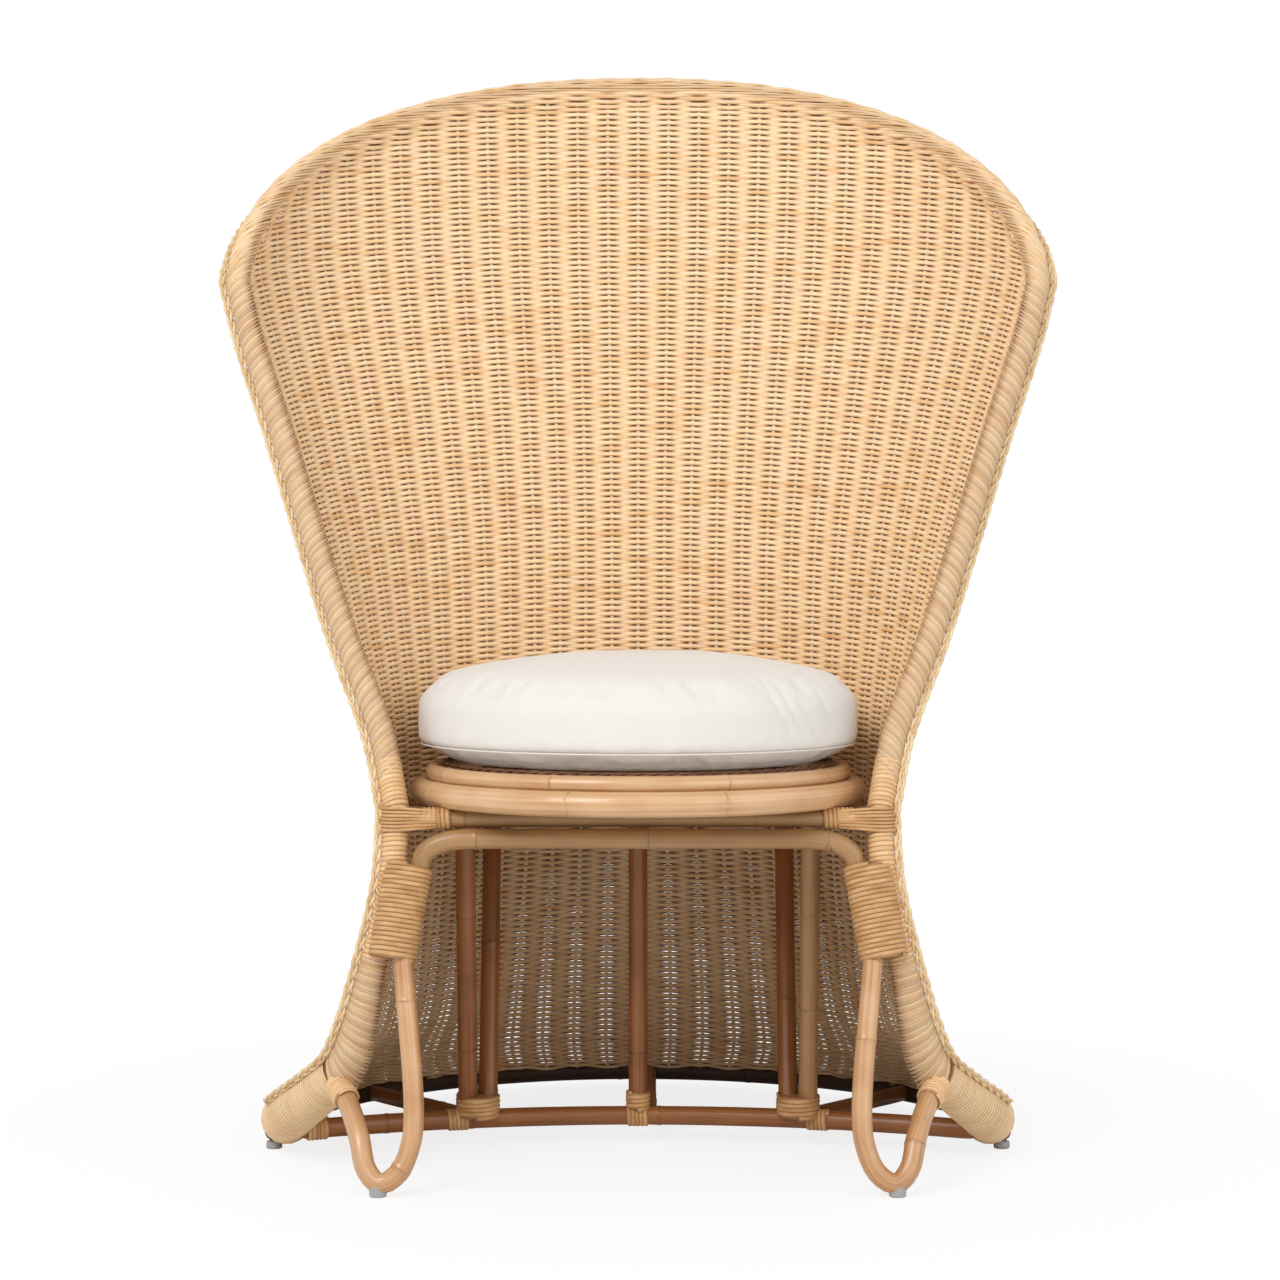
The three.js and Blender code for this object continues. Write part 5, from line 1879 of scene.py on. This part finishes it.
@dataclass
class WovenDeck:
    """The round seat: strands woven in rings over and under spokes, under the cushion."""

    frame: Frame
    radius: float = 196.0
    first: float = 12.0
    pitch: float = 4.6
    strand: float = 1.7
    spokes: int = 36
    top: float = 408.8
    sink: float = 4.0
    below_top: float = 4.0
    amplitude: float = 1.6
    fine_from: float = 40.0
    spoke_radius: float = 1.6
    spoke_ends: Pair = (4.0, 204.0)

    def height(self, radius: np.ndarray) -> np.ndarray:
        """Height of the deck's middle surface, sunk a little towards its centre."""
        return self.top - self.below_top - self.sink * (1 - (radius / self.radius)**2)

    def build(self) -> None:
        """Weaves the deck."""
        mesh = SweptMesh("deck_weave")
        y = self.frame.seat_y
        for number, radius in enumerate(np.arange(self.first, self.radius, self.pitch)):
            steps = self.spokes * (4 if radius > self.fine_from else 2)
            angle = 2 * np.pi * np.arange(steps) / steps
            wave = np.cos(self.spokes / 2 * angle + np.pi * number)
            lift = self.amplitude * wave
            ring = np.stack([radius * np.cos(angle), y + radius * np.sin(angle),
                             self.height(radius) + lift], -1)
            # Painted shade in the hollows where each strand passes over and under the spokes.
            mesh.sweep(ring, np.array([[self.strand, self.pitch * 0.52]]).repeat(steps, 0),
                       (0, 0, 1), 5, True, hollow=wave)
        for spoke in range(self.spokes):
            angle = 2 * np.pi * spoke / self.spokes
            reach = np.linspace(*self.spoke_ends, 16)
            line = np.stack([reach * math.cos(angle), y + reach * math.sin(angle),
                             self.height(reach)], -1)
            mesh.sweep(line, np.full(len(line), self.spoke_radius), (0, 0, 1), 6)
        mesh.build(WEAVE_CORE, "seat_deck")


@dataclass
class Glides:
    """Moulded glides under the feet, the leg loops and the back of the hoop."""

    radius: float = 8.6
    edge: float = 1.4
    dish: float = 2.2
    lip: float = 0.6
    hollow: float = 0.5
    clearance: float = 0.2

    def build(self) -> None:
        """Turns each glide from a disc, with a rounded edge and a dished sole."""
        for side in Side:
            for kind in ("leg", "foot", "rear"):
                node = f"{side.word}_{kind}_glide"
                low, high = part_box(node)
                place = ((low[0] + high[0]) / 2, (low[1] + high[1]) / 2,
                         high[2] / 2 - self.clearance * MM)
                clear_selection()
                bpy.ops.mesh.primitive_cylinder_add(
                    vertices=40, radius=self.radius * MM,
                    depth=high[2] - 2 * self.clearance * MM, location=place)
                glide = bpy.context.object
                glide.name = f"{node}_cap"
                bpy.ops.object.transform_apply(location=True, rotation=False, scale=False)
                bpy.ops.object.mode_set(mode="EDIT")
                select_faces(glide, lambda centre, normal: normal.z < -0.9)
                bpy.ops.mesh.inset(thickness=self.dish * MM)
                bpy.ops.mesh.inset(thickness=self.lip * MM)
                bpy.ops.transform.translate(value=(0, 0, self.hollow * MM))
                bpy.ops.object.mode_set(mode="OBJECT")
                bevel = glide.modifiers.new("rounded edge", "BEVEL")
                bevel.width = self.edge * MM
                bevel.segments = 4
                bevel.angle_limit = math.radians(60)
                bpy.ops.object.modifier_apply(modifier=bevel.name)
                bpy.ops.object.shade_smooth_by_angle(angle=math.radians(40))
                settle(glide, PLASTIC, node)


@dataclass
class SeatCushion:
    """Round boxed cushion: crowned top, drawn-in band and a fine welt at the lower seam."""

    centre_y: float = -12.0
    radius: float = 241.0
    bottom: float = 419.8
    seam_low: float = 439.0
    seam_high: float = 487.0
    top: float = 530.5
    over_top: float = 4.5
    dome: float = 0.52
    dome_rings: int = 10
    dome_reach: float = 0.94
    voxel: float = 5.0
    pressure: float = 4.0
    frames: int = 20
    furthest: float = 6.5
    fill: float = 0.6
    welt: float = 0.7
    welt_points: int = 150
    welt_search: float = 3.5
    welt_sector: float = 0.035
    welt_sink: float = 0.5
    seam_pull: float = 0.4
    seam_width: float = 4.5
    rim_start: float = 170.0
    pucker_place: Pair = (8.0, 6.0)
    pucker_depth: float = 0.5
    puckers: tuple[tuple[int, float], ...] = ((23, 0.5), (37, 0.35), (61, 0.3))
    crown_from: float = 4.0
    crown_wave: float = 1.4
    front_from: Pair = (60.0, 160.0)
    creases: tuple[tuple[float, ...], ...] = (
        (136, 456, 514, 4.0, 2.8), (148, 450, 506, 3.2, 2.4),
        (162, 446, 498, 4.5, 1.8), (186, 460, 490, 3.5, 2.0))
    crease_lean: float = 0.55
    crease_level: float = 495.0
    crease_end: float = 8.0
    softness: int = 12
    seed: int = 11

    def shape(self) -> Object:
        """Shapes the cushion from a cylinder, ring by ring.

        Returns:
            The closed, empty cover.
        """
        clear_selection()
        band = (self.seam_high - self.seam_low) * MM
        place = (0, (self.centre_y + DEPTH_SHIFT) * MM, (self.seam_high + self.seam_low) / 2 * MM)
        bpy.ops.mesh.primitive_cylinder_add(vertices=96, radius=self.radius * MM, depth=band,
                                            location=place)
        cushion = bpy.context.object
        cushion.name = "round_cushion"
        bpy.ops.object.transform_apply(location=True, rotation=False, scale=False)
        bpy.ops.object.mode_set(mode="EDIT")
        for up, rise in ((1, self.top - self.seam_high), (-1, self.seam_low - self.bottom)):
            select_faces(cushion, lambda centre, normal: normal.z * up > 0.9)
            before = 0.0
            for step in range(1, self.dome_rings + 1):
                share = step / self.dome_rings
                height = (math.sin(share * math.pi / 2)**self.dome if up > 0
                          else min(1.0, 3 * share))
                bpy.ops.mesh.inset(thickness=self.radius * MM * self.dome_reach / self.dome_rings)
                bpy.ops.transform.translate(value=(0, 0, up * (height - before) * rise * MM))
                before = height
        bpy.ops.object.mode_set(mode="OBJECT")
        return cushion

    def inflate(self, cushion: Object) -> None:
        """Fills the cushion with a short cloth simulation and applies it.

        Args:
            cushion: The shaped, closed mesh.
        """
        remesh = cushion.modifiers.new("even cloth", "REMESH")
        remesh.mode = "VOXEL"
        remesh.voxel_size = self.voxel * MM
        bpy.ops.object.modifier_apply(modifier=remesh.name)
        soft = cushion.modifiers.new("soft edge", "SMOOTH")
        soft.factor, soft.iterations = 0.5, self.softness
        bpy.ops.object.modifier_apply(modifier=soft.name)
        start = np.empty(len(cushion.data.vertices) * 3)
        cushion.data.vertices.foreach_get("co", start)
        cloth = cushion.modifiers.new("filling", "CLOTH")
        cloth.settings.use_pressure = True
        cloth.settings.uniform_pressure_force = self.pressure
        cloth.settings.effector_weights.gravity = 0
        scene = bpy.context.scene
        for frame in range(1, self.frames + 1):
            scene.frame_set(frame)
        bpy.ops.object.modifier_apply(modifier=cloth.name)
        scene.frame_set(1)
        end = np.empty_like(start)
        cushion.data.vertices.foreach_get("co", end)
        move = (end - start).reshape(-1, 3)
        length = np.linalg.norm(move, axis=1, keepdims=True)
        move *= np.minimum(1, self.furthest * MM / np.maximum(length, 1e-9))
        start = start + move.ravel()
        cushion.data.vertices.foreach_set("co", self.dress(start.reshape(-1, 3)).ravel())
        smooth = cushion.modifiers.new("softer", "SUBSURF")
        smooth.levels = smooth.render_levels = 1
        bpy.ops.object.modifier_apply(modifier=smooth.name)
        bpy.ops.object.shade_smooth()

    def dress(self, points: np.ndarray) -> np.ndarray:
        """Draws the cloth in at both seams, puckers it there and keeps it in its space.

        Args:
            points: Vertices in metres.

        Returns:
            The vertices, moved.
        """
        rng = np.random.default_rng(self.seed)
        height = points[:, 2] / MM
        y = (self.centre_y + DEPTH_SHIFT) * MM
        angle = np.arctan2(points[:, 1] - y, points[:, 0])
        reach = np.hypot(points[:, 0], points[:, 1] - y)
        out = points.copy()
        wave = np.zeros(len(points))
        for turns, size in self.puckers:
            wave += size * np.sin(turns * angle + rng.uniform(0, 6.28))
        away, spread = self.pucker_place
        for seam in (self.seam_low, self.seam_high):
            rim = reach > self.rim_start * MM
            pull = np.exp(-((height - seam) / self.seam_width)**2) * rim * self.seam_pull * MM
            out[:, 0] -= pull * np.cos(angle)
            out[:, 1] -= pull * np.sin(angle)
            beside = np.exp(-((np.abs(height - seam) - away) / spread)**2) * rim
            out[:, 0] += beside * wave * self.pucker_depth * MM * np.cos(angle)
            out[:, 1] += beside * wave * self.pucker_depth * MM * np.sin(angle)
        crown = smooth_step(height, self.seam_high + self.crown_from, self.top)
        slow = np.sin(points[:, 0] * 19 + 1.1) * np.cos(points[:, 1] * 15 + 0.4)
        out[:, 2] += crown * self.crown_wave * slow * MM
        front = smooth_step(-points[:, 1] / MM, *self.front_from)
        crease = np.zeros(len(points))
        for place, low, high, wide, deep in self.creases:
            across = (points[:, 0] / MM - place - self.crease_lean * (self.crease_level - height))
            span = (smooth_step(height, low - self.crease_end, low + self.crease_end)
                    * (1 - smooth_step(height, high - self.crease_end, high + self.crease_end)))
            crease += deep * span * np.exp(-(across / wide)**2)
        outward = np.stack([np.cos(angle), np.sin(angle), 0.7 * np.ones(len(points))], -1)
        out -= (crease * front * MM)[:, None] * unit(outward)
        limit = self.radius * MM
        scale = np.minimum(1, limit / np.maximum(np.hypot(out[:, 0], out[:, 1] - y), 1e-9))
        out[:, 0] *= scale
        out[:, 1] = y + (out[:, 1] - y) * scale
        out[:, 2] = np.clip(out[:, 2], self.bottom * MM, (self.top + self.over_top) * MM)
        return out

    def add_welt(self, cushion: Object) -> None:
        """Sews a fine welt along the lower seam, on the finished cloth.

        Args:
            cushion: The finished cushion.
        """
        count = len(cushion.data.vertices)
        points = np.empty(count * 3)
        cushion.data.vertices.foreach_get("co", points)
        points = points.reshape(-1, 3) / MM - np.array([0, DEPTH_SHIFT, 0])
        angle = np.arctan2(points[:, 1] - self.centre_y, points[:, 0])
        reach = np.hypot(points[:, 0], points[:, 1] - self.centre_y)
        mesh = SweptMesh("cushion_welt")
        near = np.abs(points[:, 2] - self.seam_low) < self.welt_search
        turns = 2 * np.pi * np.arange(self.welt_points) / self.welt_points - np.pi
        found = np.array([
            reach[near & (np.abs(np.angle(np.exp(1j * (angle - turn)))) < self.welt_sector)].max()
            for turn in turns])
        found = (np.roll(found, 1) + found + np.roll(found, -1)) / 3 - self.welt_sink
        line = np.stack([found * np.cos(turns), self.centre_y + found * np.sin(turns),
                         np.full(self.welt_points, self.seam_low)], -1)
        mesh.sweep(line, np.full(self.welt_points, self.welt), (0, 0, 1), 10, True)
        mesh.build(COTTON, body="cushion")

    def build(self) -> None:
        """Makes the cushion and its welt."""
        cushion = self.shape()
        self.inflate(cushion)
        self.add_welt(cushion)
        settle(cushion, COTTON, "seat_cushion", body="cushion")


# Stage


@dataclass
class Studio:
    """Pale studio with soft light and the photograph's camera."""

    camera_place: Triple = (0.00215, -3.066, 0.613)
    pitch_down: float = math.radians(1.25)
    lens: float = 78.47
    sensor: float = 36.0
    floor_size: float = 9.0
    paper: int = 0xFBFAF9
    floor_fade: tuple[float, float, float, float] = (0.25, 1.0, 0.82, 1.0)
    sky: float = 0.62
    aim: Triple = (0.0, 0.0, 0.6)
    lamps: tuple[tuple[str, Triple, float, float], ...] = (
        ("key", (-1.5, -2.3, 2.7), 1.6, 58.0), ("fill", (1.9, -2.0, 1.5), 2.0, 18.0))

    def build_floor(self) -> None:
        """Lays a white floor that keeps the chair's soft shadow."""
        clear_selection()
        bpy.ops.mesh.primitive_plane_add(size=self.floor_size, location=(0, 0, -0.0002))
        floor = bpy.context.object
        floor.name = "studio_floor"
        material, tree, shader = new_material("white seamless paper, matt", {
            "Base Color": linear(self.paper), "Roughness": 0.9})
        place = add_node(tree, "ShaderNodeTexCoord")
        grain = add_node(tree, "ShaderNodeTexNoise", {"Scale": 900.0},
                         {"Vector": place.outputs["Object"]})
        bump = add_node(tree, "ShaderNodeBump", {"Strength": 0.02, "Distance": 0.0001},
                        {"Height": grain.outputs["Fac"]})
        tree.links.new(bump.outputs["Normal"], shader.inputs["Normal"])
        path = add_node(tree, "ShaderNodeLightPath")
        far = add_node(tree, "ShaderNodeVectorMath", {".operation": "LENGTH"},
                       {0: place.outputs["Object"]})
        fade = add_node(tree, "ShaderNodeMapRange", {
            ".interpolation_type": "SMOOTHSTEP", **dict(enumerate(self.floor_fade, 1)),
        }, {0: far.outputs["Value"]})
        share = add_node(tree, "ShaderNodeMath", {".operation": "MULTIPLY"},
                         {0: fade.outputs[0], 1: path.outputs["Is Camera Ray"]})
        white = add_node(tree, "ShaderNodeEmission", {"Strength": 1.0})
        mix = add_node(tree, "ShaderNodeMixShader", links={
            0: share.outputs[0], 1: shader.outputs["BSDF"], 2: white.outputs[0]})
        output = next(node for node in tree.nodes if node.type == "OUTPUT_MATERIAL")
        tree.links.new(mix.outputs[0], output.inputs["Surface"])
        floor.data.materials.append(material)

    def build(self) -> None:
        """Makes world, camera and lights."""
        scene = bpy.context.scene
        world = bpy.data.worlds.new("white studio")
        scene.world = world
        world.use_nodes = True
        tree = world.node_tree
        tree.nodes.clear()
        path = add_node(tree, "ShaderNodeLightPath")
        clear = add_node(tree, "ShaderNodeMath", {".operation": "MAXIMUM"},
                         {0: path.outputs["Is Camera Ray"], 1: path.outputs["Is Glossy Ray"]})
        soft = add_node(tree, "ShaderNodeBackground",
                        {"Color": (0.97, 0.98, 1, 1), "Strength": self.sky})
        white = add_node(tree, "ShaderNodeBackground", {"Color": (1, 1, 1, 1), "Strength": 1.0})
        mix = add_node(tree, "ShaderNodeMixShader", links={
            0: clear.outputs[0], 1: soft.outputs[0], 2: white.outputs[0]})
        add_node(tree, "ShaderNodeOutputWorld", links={"Surface": mix.outputs[0]})
        camera = bpy.data.cameras.new("photo camera")
        camera.lens = self.lens
        camera.sensor_width = self.sensor
        item = bpy.data.objects.new("photo_camera", camera)
        scene.collection.objects.link(item)
        item.location = self.camera_place
        item.rotation_euler = (math.pi / 2 - self.pitch_down, 0, 0)
        scene.camera = item
        for name, place, size, power in self.lamps:
            lamp = bpy.data.lights.new(name, "AREA")
            lamp.size = size
            lamp.energy = power
            lit = bpy.data.objects.new(name, lamp)
            scene.collection.objects.link(lit)
            lit.location = place
            aim = Vector(self.aim) - Vector(place)
            lit.rotation_euler = aim.to_track_quat("-Z", "Y").to_euler()
        scene.view_settings.view_transform = "Standard"


def main() -> None:
    """Builds the chair, dresses it and sets the studio."""
    logging.basicConfig(level=logging.INFO, format="%(message)s")
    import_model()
    shell = Shell()
    line, poles, studio = EdgeLine(shell), Frame(shell), Studio()
    studio.build()
    for part in (WovenShell(line), poles, Bindings(poles, line), WovenDeck(poles), Glides(),
                 SeatCushion()):
        log.info("Building %s", type(part).__name__)
        part.build()
    studio.build_floor()


if __name__ == "__main__":
    main()
